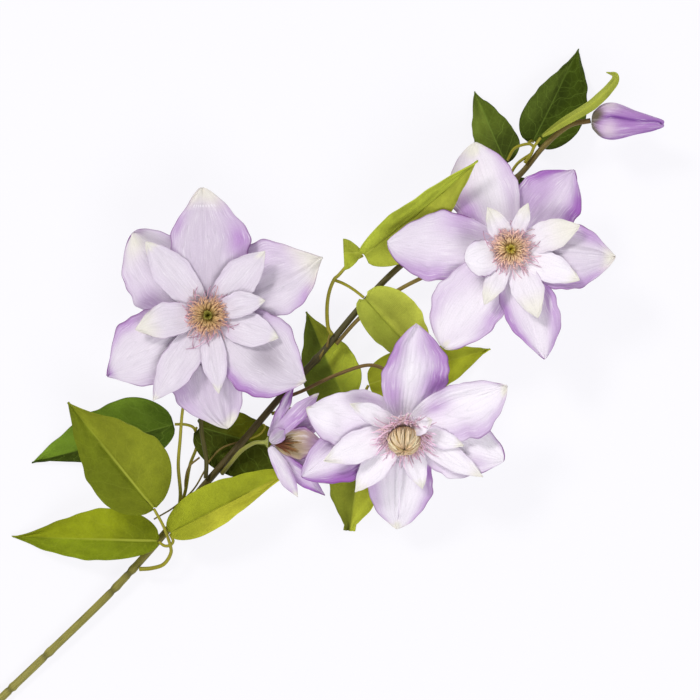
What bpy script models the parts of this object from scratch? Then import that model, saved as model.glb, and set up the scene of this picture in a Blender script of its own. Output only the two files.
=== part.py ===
"""A cut clematis spray lying on a flat surface: a jointed main stem, five leafy side sprigs, three open
flowers, a half-open flower and a bud.

Every length in this script is in millimetres and every angle in degrees. MM turns them into Blender's metres.
+Z is up, and the surface that the spray lies on is z = 0. Places are given from a point between the open
flowers, and PLAN_SHIFT moves them so that the origin is the middle of the spray's box on the surface.
"""

import math
from dataclasses import dataclass

import bmesh
import bpy
import numpy as np

MM = 0.001
PLAN_SHIFT = np.array([24.8, 25.9, 0.0])
UP = np.array([0.0, 0.0, 1.0])

# Driving sizes.
GAP = 0.3  # clearance between two pieces that touch
PETAL_THICKNESS = 0.6
LEAF_THICKNESS = 0.7
BLADE_ROWS = 8  # faces along a petal or leaf
BLADE_COLUMNS = 4  # faces across it
PETAL_ROOT = 3.0  # how far from its flower's axis a petal starts
INNER_ROOT = 1.5  # and a petal of the inner whorl, inside its disc
LAYER = PETAL_THICKNESS + GAP  # step from one petal to the one that overlaps it
WHORL_DISC_RADIUS = 5.0
WHORL_CLEARANCE = 1.7  # from the top petal's base to the disc of the inner whorl
WHORL_DISC_HEIGHT = 3.0
STEM_STEP = 8.0  # spacing of the points along a stem
STEM_CUT_RADIUS = 2.1  # of the main stem at its cut end
STEM_END_RADIUS = 1.3  # and where it carries the bud
RECEPTACLE_RADIUS = 4.0
PETAL_SHOULDER = 0.8  # how soon a petal widens from its base


@dataclass(frozen=True)
class Edge:
    """One side of a petal or leaf: its widest half-width, where that is from base 0 to tip 1, and how pointed
    the side runs into the tip, where 1 is like half a sine wave and more is slimmer."""

    width: float
    belly: float = 0.55
    point: float = 1.0


@dataclass(frozen=True)
class Blade:
    """A petal or leaf along a smooth centre line from base to tip. Left and right are as seen from above,
    looking from base to tip."""

    base: tuple
    tip: tuple
    left: Edge
    right: Edge
    via: tuple = ()  # points of the centre line between base and tip
    arch: float = 0.0  # rise of the middle over the straight line, where there are no points between
    neck: float = 0.2  # half-width at the base, as a share of the widest
    shoulder: float = 0.6  # how soon it widens from the base: less is sooner
    blunt: float = 0.0  # half-width left at the very tip, as a share of the widest
    cup: float = 0.0  # rise of the edges, as a share of the half-width
    roll: float = 0.0  # turn about the centre line, left edge up
    lobe: float = 0.0  # how far the corners of the base reach back past the stalk


@dataclass(frozen=True)
class Tube:
    """A round stalk through these points, with its radius at the first and at the last."""

    points: tuple
    start: float
    end: float
    flare: float = 0.0  # radius that the last few millimetres widen to


def smooth_curve(points, at):
    """Positions on the Catmull-Rom curve through the points, for values from 0 (first) to 1 (last)."""
    points = np.array(points, float)
    ends = np.vstack([2 * points[0] - points[1], points, 2 * points[-1] - points[-2]])
    place = np.clip(np.asarray(at, float), 0, 1) * (len(points) - 1)
    span = np.minimum(place.astype(int), len(points) - 2)
    t = (place - span)[..., None]
    before, first, second, after = (ends[span + i] for i in range(4))
    return 0.5 * (
        2 * first
        + (second - before) * t
        + (2 * before - 5 * first + 4 * second - after) * t**2
        + (3 * first - before - 3 * second + after) * t**3
    )


def unit(vectors):
    """The vectors scaled to length 1."""
    return vectors / np.linalg.norm(vectors, axis=-1, keepdims=True)


def half_width(edge, blade, along):
    """Half-width of one side of a blade at places along it: a quarter sine wave up to the widest place, and
    another, raised to the edge's point, down to the tip."""
    rising = np.sin(np.pi / 2 * np.clip(along / edge.belly, 0, 1)) ** blade.shoulder
    falling = np.sin(np.pi / 2 * np.clip((1 - along) / (1 - edge.belly), 0, 1)) ** edge.point
    grown = np.where(along < edge.belly, blade.neck + (1 - blade.neck) * rising, falling)
    return edge.width * np.maximum(grown, max(blade.blunt, 0.02))


def centre_points(blade):
    """The points that a blade's centre line passes through."""
    base, tip = np.array(blade.base, float), np.array(blade.tip, float)
    if blade.via:
        return [base, *np.array(blade.via, float), tip]
    return [base, (base + tip) / 2 + blade.arch * UP, tip]


def blade_surface(blade, along, across):
    """Points of a blade's middle surface, for places along it from 0 to 1 and across it from -1 to 1, left
    positive."""
    line = centre_points(blade)
    centre = smooth_curve(line, along)
    ahead = unit(smooth_curve(line, along + 1e-3) - smooth_curve(line, along - 1e-3))
    level = unit(np.cross(UP, ahead))
    normal = np.cross(ahead, level)
    turn = math.radians(blade.roll)
    left = math.cos(turn) * level + math.sin(turn) * normal
    up = math.cos(turn) * normal - math.sin(turn) * level
    half = np.where(
        across > 0, half_width(blade.left, blade, along), half_width(blade.right, blade, along)
    )
    back = blade.lobe * np.abs(across) ** 1.5 * np.clip(1 - along / 0.3, 0, 1) ** 2
    rise = blade.cup * half * across**2
    return centre + left * (across * half)[:, None] + up * rise[:, None] - ahead * back[:, None]


def new_material(name, colour, roughness=0.6):
    """A plain Principled material of that colour, as three linear values."""
    material = bpy.data.materials.new(name)
    material.use_nodes = True
    shader = material.node_tree.nodes["Principled BSDF"]
    shader.inputs["Base Color"].default_value = (*colour, 1.0)
    shader.inputs["Roughness"].default_value = roughness
    shader.inputs["Metallic"].default_value = 0.0
    return material


def new_object(name, data, material, collection):
    """An object of that mesh or curve with the material, in the collection."""
    made = bpy.data.objects.new(name, data)
    data.materials.append(material)
    collection.objects.link(made)
    return made


def add_blade(name, blade, thickness, material, collection):
    """A petal or leaf: a grid laid on the blade's surface and given its thickness."""
    grid = bmesh.new()
    bmesh.ops.create_grid(grid, x_segments=BLADE_ROWS, y_segments=BLADE_COLUMNS, size=0.5)
    flat = np.array([vertex.co for vertex in grid.verts])
    placed = (blade_surface(blade, flat[:, 0] + 0.5, 2 * flat[:, 1]) + PLAN_SHIFT) * MM
    for vertex, place in zip(grid.verts, placed):
        vertex.co = place
    mesh = bpy.data.meshes.new(name)
    grid.to_mesh(mesh)
    grid.free()
    mesh.shade_smooth()
    made = new_object(name, mesh, material, collection)
    shell = made.modifiers.new("thickness", "SOLIDIFY")
    shell.thickness = thickness * MM
    shell.offset = 0.0
    return made


def add_curve(name, tube, material, collection):
    """A stalk as a curve object with a round bevel and filled ends."""
    points = np.array(tube.points, float)
    length = np.linalg.norm(np.diff(points, axis=0), axis=1).sum()
    count = max(3, round(length / STEM_STEP) + 1, 2 * len(points) - 1)
    along = np.linspace(0, 1, count)
    path = (smooth_curve(points, along) + PLAN_SHIFT) * MM
    radii = tube.start + (tube.end - tube.start) * along
    if tube.flare:
        radii[-1] = tube.flare
        radii[-2] = (tube.flare + tube.end) / 2
    curve = bpy.data.curves.new(name, "CURVE")
    curve.dimensions = "3D"
    curve.bevel_depth = MM
    curve.bevel_resolution = 2
    curve.use_fill_caps = True
    spline = curve.splines.new("POLY")
    spline.points.add(count - 1)
    for point, place, radius in zip(spline.points, path, radii):
        point.co = (*place, 1.0)
        point.radius = radius
    return new_object(name, curve, material, collection)


def as_mesh(made, material, collection):
    """The same shape as a closed mesh object, in place of the curve object."""
    name = made.name
    graph = bpy.context.evaluated_depsgraph_get()
    mesh = bpy.data.meshes.new_from_object(made.evaluated_get(graph))
    welded = bmesh.new()
    welded.from_mesh(mesh)
    bmesh.ops.remove_doubles(welded, verts=welded.verts, dist=0.01 * MM)
    bmesh.ops.recalc_face_normals(welded, faces=welded.faces)
    welded.to_mesh(mesh)
    welded.free()
    mesh.materials.clear()
    placed = made.matrix_world.copy()
    bpy.data.objects.remove(made)
    solid = new_object(name, mesh, material, collection)
    solid.matrix_world = placed
    return solid


def add_branched(name, tubes, material, collection, cutters):
    """Several stalks grown into one piece by Boolean unions onto the first."""
    trunk = as_mesh(add_curve(name, tubes[0], material, collection), material, collection)
    for number, tube in enumerate(tubes[1:], 1):
        twig = as_mesh(add_curve(f"{name}_twig_{number}", tube, material, cutters), material, cutters)
        hide_helper(twig)
        join = trunk.modifiers.new(f"twig_{number}", "BOOLEAN")
        join.operation = "UNION"
        join.object = twig
    return trunk


def hide_helper(helper):
    """Marks an object that only shapes another."""
    helper.hide_render = True
    helper.display_type = "WIRE"


def add_turned(name, profile, place, lean, material, collection, steps=16):
    """A turned solid. The profile runs down its outer side as (radius, height) points, its foot stands at the
    place, and lean gives the direction of its axis."""
    mesh = bpy.data.meshes.new(name)
    corners = [(radius * MM, 0.0, height * MM) for radius, height in profile]
    mesh.from_pydata(corners, [(i, i + 1) for i in range(len(corners) - 1)], [])
    made = new_object(name, mesh, material, collection)
    turned = made.modifiers.new("turned", "SCREW")
    turned.steps = steps
    turned.render_steps = steps
    turned.use_merge_vertices = True
    turned.merge_threshold = 0.01 * MM
    axis = unit(np.array(lean, float))
    made.rotation_euler = (0.0, math.acos(axis[2]), math.atan2(axis[1], axis[0]))
    made.location = (np.array(place, float) + PLAN_SHIFT) * MM
    return made


def tuft_profile(radius, height, waist):
    """Profile of a tuft of stamens: a narrow foot that opens to a round head."""
    turn = np.linspace(0, np.pi / 2, 5)
    head = [(radius * math.sin(a), waist + (height - waist) * math.cos(a)) for a in turn]
    return [*head, (0.3 * radius, 0.0), (0.0, 0.0)]


@dataclass(frozen=True)
class Petal:
    """A petal of a flower: where its tip is, its two edges, and how many petals lie under its base."""

    tip: tuple
    left: Edge
    right: Edge
    level: int = 0
    arch: float = 0.0
    neck: float = 0.2
    cup: float = 0.0
    roll: float = 0.0


@dataclass(frozen=True)
class Flower:
    """An open flower: the middle of its petals' bases, the direction that it faces, and its petals."""

    name: str
    centre: tuple
    faces: tuple
    petals: tuple
    inner: tuple
    tuft: tuple = (8.5, 9.0, 4.0)  # radius and height of its stamens, and the height of their waist


LEFT_FLOWER = Flower(
    "left",
    (-70.5, 17.2, 37.0),
    (0.0, 0.0, 1.0),
    (
        Petal((-73.5, 80.5, 45.0), Edge(17.5, 0.58, 1.3), Edge(23.0, 0.58, 1.5), 1, 6.0),
        Petal((-13.5, 46.0, 43.0), Edge(22.5, 0.52, 1.2), Edge(17.0, 0.62, 1.2), 0, 1.5),
        Petal((-22.0, -15.5, 42.0), Edge(19.0, 0.50, 1.15), Edge(22.0, 0.60, 0.75), 1, 7.0),
        Petal((-61.0, -39.0, 34.0), Edge(11.0, 0.60, 0.8), Edge(25.0, 0.52, 0.95), 0, 3.5),
        Petal((-120.5, -13.0, 42.0), Edge(18.0, 0.55, 1.0), Edge(19.5, 0.58, 1.0), 1, 4.5),
        Petal((-107.5, 58.5, 43.0), Edge(23.0, 0.50, 0.62), Edge(14.0, 0.60, 0.6), 0, 1.5),
    ),
    (
        Petal((-101.0, 53.5, 53.0), Edge(9.0), Edge(9.5), 0, 2.0),
        Petal((-42.0, 49.0, 54.0), Edge(9.5), Edge(9.0), 0, 2.0),
        Petal((-42.0, 24.5, 52.0), Edge(6.0), Edge(6.5), 2, 2.0),
        Petal((-35.5, 6.0, 50.0), Edge(8.5), Edge(9.0), 0, 2.0),
        Petal((-65.0, -21.5, 48.0), Edge(6.5), Edge(6.3), 1, 2.0),
        Petal((-97.5, -25.0, 50.0), Edge(10.0), Edge(8.5), 0, 2.0),
        Petal((-106.0, 10.0, 53.0), Edge(8.5), Edge(8.0), 1, 2.0),
    ),
)

RIGHT_FLOWER = Flower(
    "right",
    (79.5, 50.0, 40.0),
    (0.0, 0.0, 1.0),
    (
        Petal((62.0, 103.0, 44.0), Edge(21.0, 0.55, 0.65), Edge(14.0, 0.58, 0.9), 1, 0.0, roll=-8),
        Petal((111.5, 89.5, 40.0), Edge(17.0, 0.60, 0.75), Edge(16.0, 0.60, 0.62), 0, 0.5),
        Petal((131.5, 46.5, 48.0), Edge(15.0, 0.55, 1.1), Edge(18.5, 0.50, 0.75), 5, 4.0),
        Petal((96.5, -4.5, 44.0), Edge(14.5, 0.58, 0.75), Edge(13.0, 0.45, 1.0), 4, 3.0),
        Petal((46.5, 1.0, 42.0), Edge(15.5, 0.50, 0.62), Edge(19.5, 0.60, 0.62), 3, 3.2),
        Petal((18.5, 53.0, 49.0), Edge(17.5, 0.58, 0.62), Edge(17.5, 0.52, 0.8), 2, -2.0, cup=0.05, roll=-8),
    ),
    (
        Petal((68.0, 70.5, 57.0), Edge(5.5), Edge(5.5), 0, 1.0),
        Petal((88.0, 72.5, 58.0), Edge(4.0), Edge(4.0), 1, 1.0),
        Petal((113.5, 61.5, 57.0), Edge(8.0), Edge(7.5), 0, 2.0),
        Petal((113.5, 34.5, 54.0), Edge(7.0), Edge(7.5), 1, 2.0),
        Petal((93.0, 16.0, 54.0), Edge(8.5), Edge(7.5), 0, 2.0),
        Petal((66.5, 22.5, 55.0), Edge(5.5), Edge(5.5), 1, 2.0),
        Petal((56.0, 48.0, 58.0), Edge(8.0), Edge(8.0), 0, 2.0),
    ),
)

MIDDLE_FLOWER = Flower(
    "middle",
    (26.8, -35.5, 38.0),
    (0.0, -0.55, 0.83),
    (
        Petal((32.5, 13.0, 58.0), Edge(14.0, 0.42, 0.85), Edge(20.0, 0.50, 0.85), 3, 3.0, neck=0.3, roll=15),
        Petal((77.5, -17.5, 56.0), Edge(10.5, 0.45, 0.8), Edge(19.5, 0.55, 0.8), 4, 3.0, roll=12),
        Petal((76.5, -55.0, 40.0), Edge(13.0, 0.60, 0.6), Edge(17.5, 0.50, 0.9), 2, 1.5),
        Petal((23.5, -89.5, 18.0), Edge(16.5, 0.55, 0.75), Edge(17.0, 0.50, 0.8), 1, 6.0, neck=0.1),
        Petal((-24.0, -63.0, 42.5), Edge(14.0, 0.55, 0.8), Edge(13.0, 0.60, 0.75), 0, 1.0, neck=0.1),
        Petal((-21.5, -28.5, 54.0), Edge(16.5, 0.62, 0.7), Edge(13.0, 0.40, 1.0), 2, 1.0, neck=0.4),
    ),
    (
        Petal((0.0, -26.5, 61.0), Edge(5.0), Edge(5.0), 1, 1.0),
        Petal((-13.0, -55.0, 52.0), Edge(8.0), Edge(8.0), 0, 2.0),
        Petal((2.5, -70.5, 41.5), Edge(7.0), Edge(7.0), 1, 3.0),
        Petal((36.0, -69.0, 37.5), Edge(6.0), Edge(6.0), 0, 3.0),
        Petal((66.0, -63.0, 46.0), Edge(6.0), Edge(6.0), 1, 3.0),
        Petal((56.5, -47.5, 55.5), Edge(5.0), Edge(5.0), 0, 2.0),
        Petal((41.5, -32.0, 52.5), Edge(4.5), Edge(4.5), 1, 0.0),
    ),
    (7.5, 9.5, 4.5),
)

HALF_OPEN_SEAT = (-38.2, -46.2, 35.6)  # foot of its stamens
HALF_OPEN_FACES = (0.98, -0.17, 0.05)
HALF_OPEN_TUFT = ((0.0, 9.0), (1.7, 8.0), (1.3, 3.0), (1.0, 0.0), (0.0, 0.0))
HALF_OPEN_PETALS = (  # base, tip, half-width of each side, rise of the edges
    ((-40.0, -43.2, 34.5), (-27.8, -17.5, 34.5), 2.6, 0.5),
    ((-38.8, -44.0, 36.6), (-15.5, -21.5, 43.0), 4.2, -0.4),
    ((-39.5, -43.6, 31.8), (-10.5, -33.0, 27.0), 6.0, 0.1),
    ((-37.5, -46.0, 32.2), (-13.5, -46.5, 34.0), 8.0, 0.2),
    ((-39.8, -48.2, 36.3), (-26.0, -73.0, 41.0), 3.8, -0.4),
    ((-39.8, -48.0, 31.4), (-17.0, -62.0, 25.5), 4.5, 0.1),
    ((-40.0, -49.4, 32.6), (-12.5, -72.5, 30.5), 4.2, 0.1),
    ((-39.5, -46.0, 38.0), (-32.5, -39.5, 43.0), 3.6, -0.4),
)

LEAVES = {
    "leaf_lower_left": Blade(
        (-96.5, -95.5, 17.5), (-170.0, -94.0, 1.2), Edge(10.5, 0.40), Edge(15.8, 0.30, 1.45), arch=4, neck=0.5
    ),
    "leaf_lower_top": Blade(
        (-98.0, -78.5, 31.0), (-140.3, -26.0, 38.0), Edge(18.0, 0.30, 1.1), Edge(23.0, 0.30, 1.3),
        neck=0.35, lobe=2,
    ),
    "leaf_lower_right": Blade(
        (-89.8, -91.2, 20.0), (-25.0, -58.0, 24.0), Edge(13.0, 0.30), Edge(9.0, 0.22, 1.7), arch=4, neck=0.5
    ),
    "leaf_back_left": Blade(
        (-88.6, -37.4, 9.0), (-160.2, -56.7, 0.4), Edge(12.5, 0.22, 1.45), Edge(19.2, 0.28), arch=1.5
    ),
    "leaf_back_right": Blade(
        (-75.5, -38.6, 9.0), (-22.5, -54.0, 2.0), Edge(12.5, 0.30, 1.1), Edge(19.5, 0.40, 0.8),
        arch=1.5, neck=0.5, lobe=2,
    ),
    "leaf_centre_left": Blade(
        (-2.5, -26.5, 11.5), (-22.0, 19.2, 4.0), Edge(15.5, 0.25, 1.25), Edge(14.0, 0.28, 1.15), arch=2
    ),
    "leaf_centre_right": Blade(
        (9.5, -17.0, 9.0), (70.5, 0.5, 0.4), Edge(12.0, 0.25), Edge(15.0, 0.35, 1.2), arch=2, neck=0.4
    ),
    "leaf_centre_down": Blade(
        (7.5, -40.0, 9.0), (0.0, -91.0, 0.4), Edge(14.0, 0.40, 0.9), Edge(15.0, 0.40, 0.8), arch=2, blunt=0.2
    ),
    "leaf_middle_round": Blade(
        (7.5, 25.5, 28.5), (41.0, -11.0, 20.0), Edge(17.0, 0.33, 0.95), Edge(10.5, 0.32), arch=3,
        neck=0.45, lobe=2,
    ),
    "leaf_middle_long": Blade(
        (7.0, 47.5, 33.0), (63.0, 93.5, 58.0), Edge(9.0, 0.40, 1.1), Edge(16.0, 0.28, 1.25),
        via=((25.0, 61.0, 36.5), (45.0, 77.0, 48.5)), neck=0.3, lobe=1, roll=22,
    ),
    "leaf_middle_small": Blade(
        (4.0, 47.0, 33.4), (-3.2, 48.0, 34.5), Edge(7.3, 0.8), Edge(7.2, 0.8), neck=0.3, blunt=0.9
    ),
    "leaf_top_left": Blade(
        (78.0, 93.5, 12.0), (62.8, 130.0, 0.4), Edge(10.5, 0.30, 1.1), Edge(11.0, 0.22, 1.15), arch=2
    ),
    "leaf_top_large": Blade(
        (92.0, 105.0, 15.0), (115.0, 151.5, 0.4), Edge(11.5, 0.20, 1.5), Edge(18.5, 0.33), arch=2,
        neck=0.45, lobe=2,
    ),
    "leaf_top_curled": Blade(
        (95.8, 106.6, 27.0), (127.5, 138.2, 36.0), Edge(2.4, 0.45), Edge(2.8, 0.45),
        via=((106.0, 113.5, 29.0), (120.0, 122.0, 32.0), (129.5, 131.0, 34.0), (132.0, 136.5, 35.0)),
    ),
    "leaf_top_hidden": Blade(
        (81.0, 84.5, 14.0), (106.0, 62.5, 8.0), Edge(8.0, 0.35), Edge(8.0, 0.35), arch=1
    ),
}

MAIN_STEM = Tube(
    (
        (-203.5, -202.0, 2.1), (-175.0, -174.5, 2.6), (-154.0, -154.5, 3.8), (-119.5, -121.0, 6.0),
        (-94.0, -93.0, 9.5), (-72.0, -66.5, 13.5), (-51.5, -43.0, 17.0), (-34.0, -22.5, 18.5),
        (-16.0, -3.5, 20.0), (5.5, 22.0, 21.0), (25.0, 42.0, 21.5), (55.0, 65.0, 21.5),
        (82.5, 85.5, 22.0), (96.5, 101.5, 23.0), (109.0, 112.0, 25.0), (120.0, 114.6, 27.0),
    ),
    STEM_CUT_RADIUS,
    STEM_END_RADIUS,
)

FLOWER_STALKS = {
    "left": Tube(
        ((-72.2, -64.2, 16.9), (-72.0, -54.0, 18.5), (-74.5, -36.0, 20.0), (-72.0, -10.0, 22.0),
         (-70.7, 10.0, 26.5), (-70.5, 17.0, 31.5), (-70.5, 17.2, 36.15)),
        1.1, 1.1, RECEPTACLE_RADIUS,
    ),
    "right": Tube(
        ((-7.0, 3.0, 20.2), (6.5, 17.5, 21.5), (26.0, 31.0, 23.0), (50.0, 42.0, 25.0), (74.0, 49.5, 29.0),
         (79.3, 50.0, 34.0), (79.5, 50.0, 39.3)),
        1.0, 1.1, RECEPTACLE_RADIUS,
    ),
    "middle": Tube(
        ((-33.3, -24.0, 21.0), (-24.0, -20.5, 24.0), (-7.0, -12.5, 26.5), (10.0, -7.5, 28.0),
         (21.0, -13.0, 29.0), (26.8, -25.0, 31.0), (26.8, -32.0, 33.5), (26.8, -35.1, 37.2)),
        0.9, 0.9, RECEPTACLE_RADIUS,
    ),
}
HALF_OPEN_STALK = Tube(
    ((-64.2, -62.0, 14.9), (-60.5, -57.5, 18.5), (-54.5, -50.5, 24.5), (-48.0, -46.4, 31.0),
     (-44.0, -46.0, 33.8), (-40.7, -46.0, 34.2)),
    1.1, 0.9, 3.0,
)

SPRIGS = {
    "sprig_lower": (
        Tube(((-105.7, -110.0, 9.6), (-99.5, -109.5, 11.0), (-93.5, -107.5, 13.0), (-90.0, -102.5, 15.0),
              (-90.0, -98.0, 17.5), (-93.0, -88.5, 25.0), (-97.7, -79.3, 30.7)), 1.1, 0.7),
        Tube(((-90.0, -98.0, 17.5), (-93.0, -98.0, 17.6), (-95.8, -96.0, 17.5)), 0.8, 0.7),
        Tube(((-90.0, -98.0, 17.5), (-88.5, -95.5, 18.5), (-90.0, -92.2, 19.8)), 0.8, 0.7),
    ),
    "sprig_back": (
        Tube(((-84.4, -76.6, 11.7), (-82.5, -70.0, 10.8), (-80.5, -58.0, 8.0), (-77.0, -48.0, 5.6),
              (-78.0, -40.0, 6.8), (-82.0, -37.6, 8.2), (-88.0, -37.3, 9.0)), 0.9, 0.7),
        Tube(((-77.5, -43.0, 6.0), (-77.6, -40.5, 6.9), (-77.0, -38.9, 7.9)), 0.8, 0.6),
    ),
    "sprig_centre": (
        Tube(((-39.2, -31.8, 16.8), (-25.0, -29.0, 13.0), (-5.0, -29.5, 10.5), (3.0, -30.0, 9.8),
              (7.0, -34.0, 9.5), (7.5, -39.4, 9.1)), 0.9, 0.7),
        Tube(((-5.0, -29.5, 10.5), (-3.5, -28.6, 10.9), (-2.6, -27.1, 11.4)), 0.7, 0.6),
        Tube(((3.0, -30.0, 9.8), (6.0, -24.0, 9.4), (9.2, -17.7, 9.1)), 0.8, 0.7),
    ),
    "sprig_middle": (
        Tube(((-9.0, 7.7, 22.7), (-11.0, 11.5, 24.0), (-11.5, 20.5, 25.5), (-10.5, 28.5, 27.0),
              (-8.0, 35.0, 28.5), (-5.5, 37.5, 29.0), (0.5, 44.0, 29.8), (6.3, 47.0, 32.3)), 1.0, 0.8),
        Tube(((-8.0, 35.0, 28.5), (-3.0, 33.0, 28.5), (2.0, 30.0, 28.5), (7.0, 26.1, 28.5)), 0.8, 0.7),
    ),
    "sprig_top": (
        Tube(((87.3, 93.4, 24.7), (90.5, 98.0, 25.4), (92.0, 101.5, 25.8), (95.2, 106.0, 26.8)), 0.9, 0.7),
        Tube(((92.0, 101.5, 25.8), (89.0, 103.0, 24.0), (82.5, 101.0, 17.5), (79.0, 95.2, 13.3)), 0.8, 0.7),
        Tube(((89.0, 103.0, 24.0), (90.5, 104.5, 20.0), (91.7, 104.4, 15.4)), 0.8, 0.7),
        Tube(((90.5, 98.0, 25.4), (84.0, 93.5, 21.0), (80.5, 88.0, 16.0), (81.0, 85.1, 14.2)), 0.8, 0.7),
    ),
    "tendril": (
        Tube(((-86.5, -84.5, 13.9), (-85.0, -72.5, 15.0), (-86.0, -58.0, 17.0), (-85.0, -44.5, 19.0),
              (-83.5, -29.0, 23.0), (-80.0, -15.0, 26.0)), 1.0, 0.7),
    ),
}

BUD_PLACE = (120.6, 114.6, 27.1)
BUD_LEAN = (0.995, -0.06, 0.08)
BUD_PROFILE = (
    (0.0, 35.0), (1.6, 33.5), (4.2, 27.0), (7.6, 18.0), (9.0, 11.0), (8.0, 5.0), (4.5, 1.0), (2.2, 0.0),
    (0.0, 0.0),
)

COLOURS = {
    "petal": (0.70, 0.52, 0.78),
    "inner_petal": (0.84, 0.76, 0.84),
    "leaf": (0.26, 0.36, 0.05),
    "stem": (0.22, 0.20, 0.07),
    "sprig": (0.40, 0.36, 0.07),
    "stamen": (0.68, 0.48, 0.16),
}


def petal_blade(petal, centre, facing, lift, root=PETAL_ROOT):
    """The blade of a petal that starts on the ring round its flower's axis, that far up the axis."""
    reach = np.array(petal.tip, float) - centre
    outward = unit(reach - facing * (reach @ facing))
    base = centre + outward * root + facing * lift
    return Blade(
        tuple(base), petal.tip, petal.left, petal.right, arch=petal.arch, neck=petal.neck,
        shoulder=PETAL_SHOULDER, cup=petal.cup, roll=petal.roll,
    )


def add_inner_petals(flower, foot, collection, cutters):
    """The inner whorl: petals grown into one small disc that lies on the outer petals."""
    name = f"{flower.name}_inner_petals"
    material = new_material(name, COLOURS["inner_petal"])
    top, rim = WHORL_DISC_HEIGHT, WHORL_DISC_RADIUS
    profile = ((0.0, top), (rim, top), (rim, 0.0), (0.0, 0.0))
    facing = unit(np.array(flower.faces, float))
    disc = add_turned(name, profile, foot, flower.faces, material, collection)
    for number, petal in enumerate(flower.inner):
        blade = petal_blade(petal, foot, facing, LAYER * (petal.level + 0.5), INNER_ROOT)
        sheet = add_blade(f"{name}_{number + 1}", blade, PETAL_THICKNESS, material, cutters)
        hide_helper(sheet)
        join = disc.modifiers.new(f"petal_{number + 1}", "BOOLEAN")
        join.operation = "UNION"
        join.object = sheet


def add_flower(flower, collection, cutters):
    """An open flower: its outer petals one by one, the inner whorl, the stamens and the stalk."""
    centre = np.array(flower.centre, float)
    facing = unit(np.array(flower.faces, float))
    for number, petal in enumerate(flower.petals, 1):
        name = f"{flower.name}_petal_{number}"
        blade = petal_blade(petal, centre, facing, LAYER * petal.level)
        add_blade(name, blade, PETAL_THICKNESS, new_material(name, COLOURS["petal"]), collection)
    layers = max(petal.level for petal in flower.petals)
    foot = centre + facing * (LAYER * layers + WHORL_CLEARANCE)
    add_inner_petals(flower, foot, collection, cutters)
    name = f"{flower.name}_stamens"
    seat = foot + facing * (WHORL_DISC_HEIGHT + GAP)
    gold = new_material(name, COLOURS["stamen"])
    add_turned(name, tuft_profile(*flower.tuft), seat, flower.faces, gold, collection)
    name = f"{flower.name}_flower_stalk"
    add_curve(name, FLOWER_STALKS[flower.name], new_material(name, COLOURS["stem"]), collection)


def add_half_open_flower(collection):
    """The flower that is still a cup: it opens along +X."""
    for number, (base, tip, width, cup) in enumerate(HALF_OPEN_PETALS, 1):
        name = f"half_open_petal_{number}"
        blade = Blade(base, tip, Edge(width), Edge(width), neck=0.9 / width, cup=cup)
        add_blade(name, blade, PETAL_THICKNESS, new_material(name, COLOURS["petal"]), collection)
    gold = new_material("half_open_stamens", COLOURS["stamen"])
    add_turned(
        "half_open_stamens", HALF_OPEN_TUFT, HALF_OPEN_SEAT, HALF_OPEN_FACES, gold, collection, steps=10
    )
    name = "half_open_flower_stalk"
    add_curve(name, HALF_OPEN_STALK, new_material(name, COLOURS["stem"]), collection)


def add_leaves_and_stems(collection, cutters):
    """The main stem, the side sprigs and the leaves that they carry."""
    add_curve("main_stem", MAIN_STEM, new_material("main_stem", COLOURS["stem"]), collection)
    for name, tubes in SPRIGS.items():
        add_branched(name, tubes, new_material(name, COLOURS["sprig"]), collection, cutters)
    for name, blade in LEAVES.items():
        add_blade(name, blade, LEAF_THICKNESS, new_material(name, COLOURS["leaf"]), collection)


def main():
    for old in list(bpy.data.objects):
        bpy.data.objects.remove(old)
    spray = bpy.data.collections.new("clematis_spray")
    cutters = bpy.data.collections.new("helpers")
    cutters.hide_render = True
    bpy.context.scene.collection.children.link(spray)
    bpy.context.scene.collection.children.link(cutters)
    for flower in (LEFT_FLOWER, RIGHT_FLOWER, MIDDLE_FLOWER):
        add_flower(flower, spray, cutters)
    add_half_open_flower(spray)
    bud = new_material("bud", COLOURS["petal"])
    add_turned("bud", BUD_PROFILE, BUD_PLACE, BUD_LEAN, bud, spray, steps=12)
    add_leaves_and_stems(spray, cutters)


if __name__ == "__main__":
    main()
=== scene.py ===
"""A cut clematis spray lying on a pale floor: a jointed stem, leafy side sprigs, three open flowers, a
half-open flower and a bud, made of printed cloth and moulded plastic.

Lengths are in millimetres and angles in degrees; MM turns lengths into metres. Places are given from a point
between the open flowers, and ROW_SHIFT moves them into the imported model's frame. Along a petal or leaf, 0 is
its base and 1 its tip. Across it, -1 is its right edge and 1 its left, seen from above, from base to tip.
"""

import logging
import math
from dataclasses import dataclass, replace
from enum import Enum
from functools import partial

import bpy
import numpy as np
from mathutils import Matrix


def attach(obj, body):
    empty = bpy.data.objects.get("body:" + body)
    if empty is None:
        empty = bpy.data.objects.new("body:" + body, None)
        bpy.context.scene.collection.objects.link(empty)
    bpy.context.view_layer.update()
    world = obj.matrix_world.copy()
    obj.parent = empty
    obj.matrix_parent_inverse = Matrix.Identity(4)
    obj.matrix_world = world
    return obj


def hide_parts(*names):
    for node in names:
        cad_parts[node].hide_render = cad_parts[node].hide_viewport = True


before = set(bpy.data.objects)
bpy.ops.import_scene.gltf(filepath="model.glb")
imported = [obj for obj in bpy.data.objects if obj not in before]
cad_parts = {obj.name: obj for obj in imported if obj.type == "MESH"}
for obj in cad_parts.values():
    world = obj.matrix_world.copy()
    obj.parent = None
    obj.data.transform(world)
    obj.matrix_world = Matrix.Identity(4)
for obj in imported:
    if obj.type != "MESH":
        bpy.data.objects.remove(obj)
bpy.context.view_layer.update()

LOG = logging.getLogger("clematis_spray")
Array = np.ndarray
Point = tuple[float, float, float]

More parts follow.
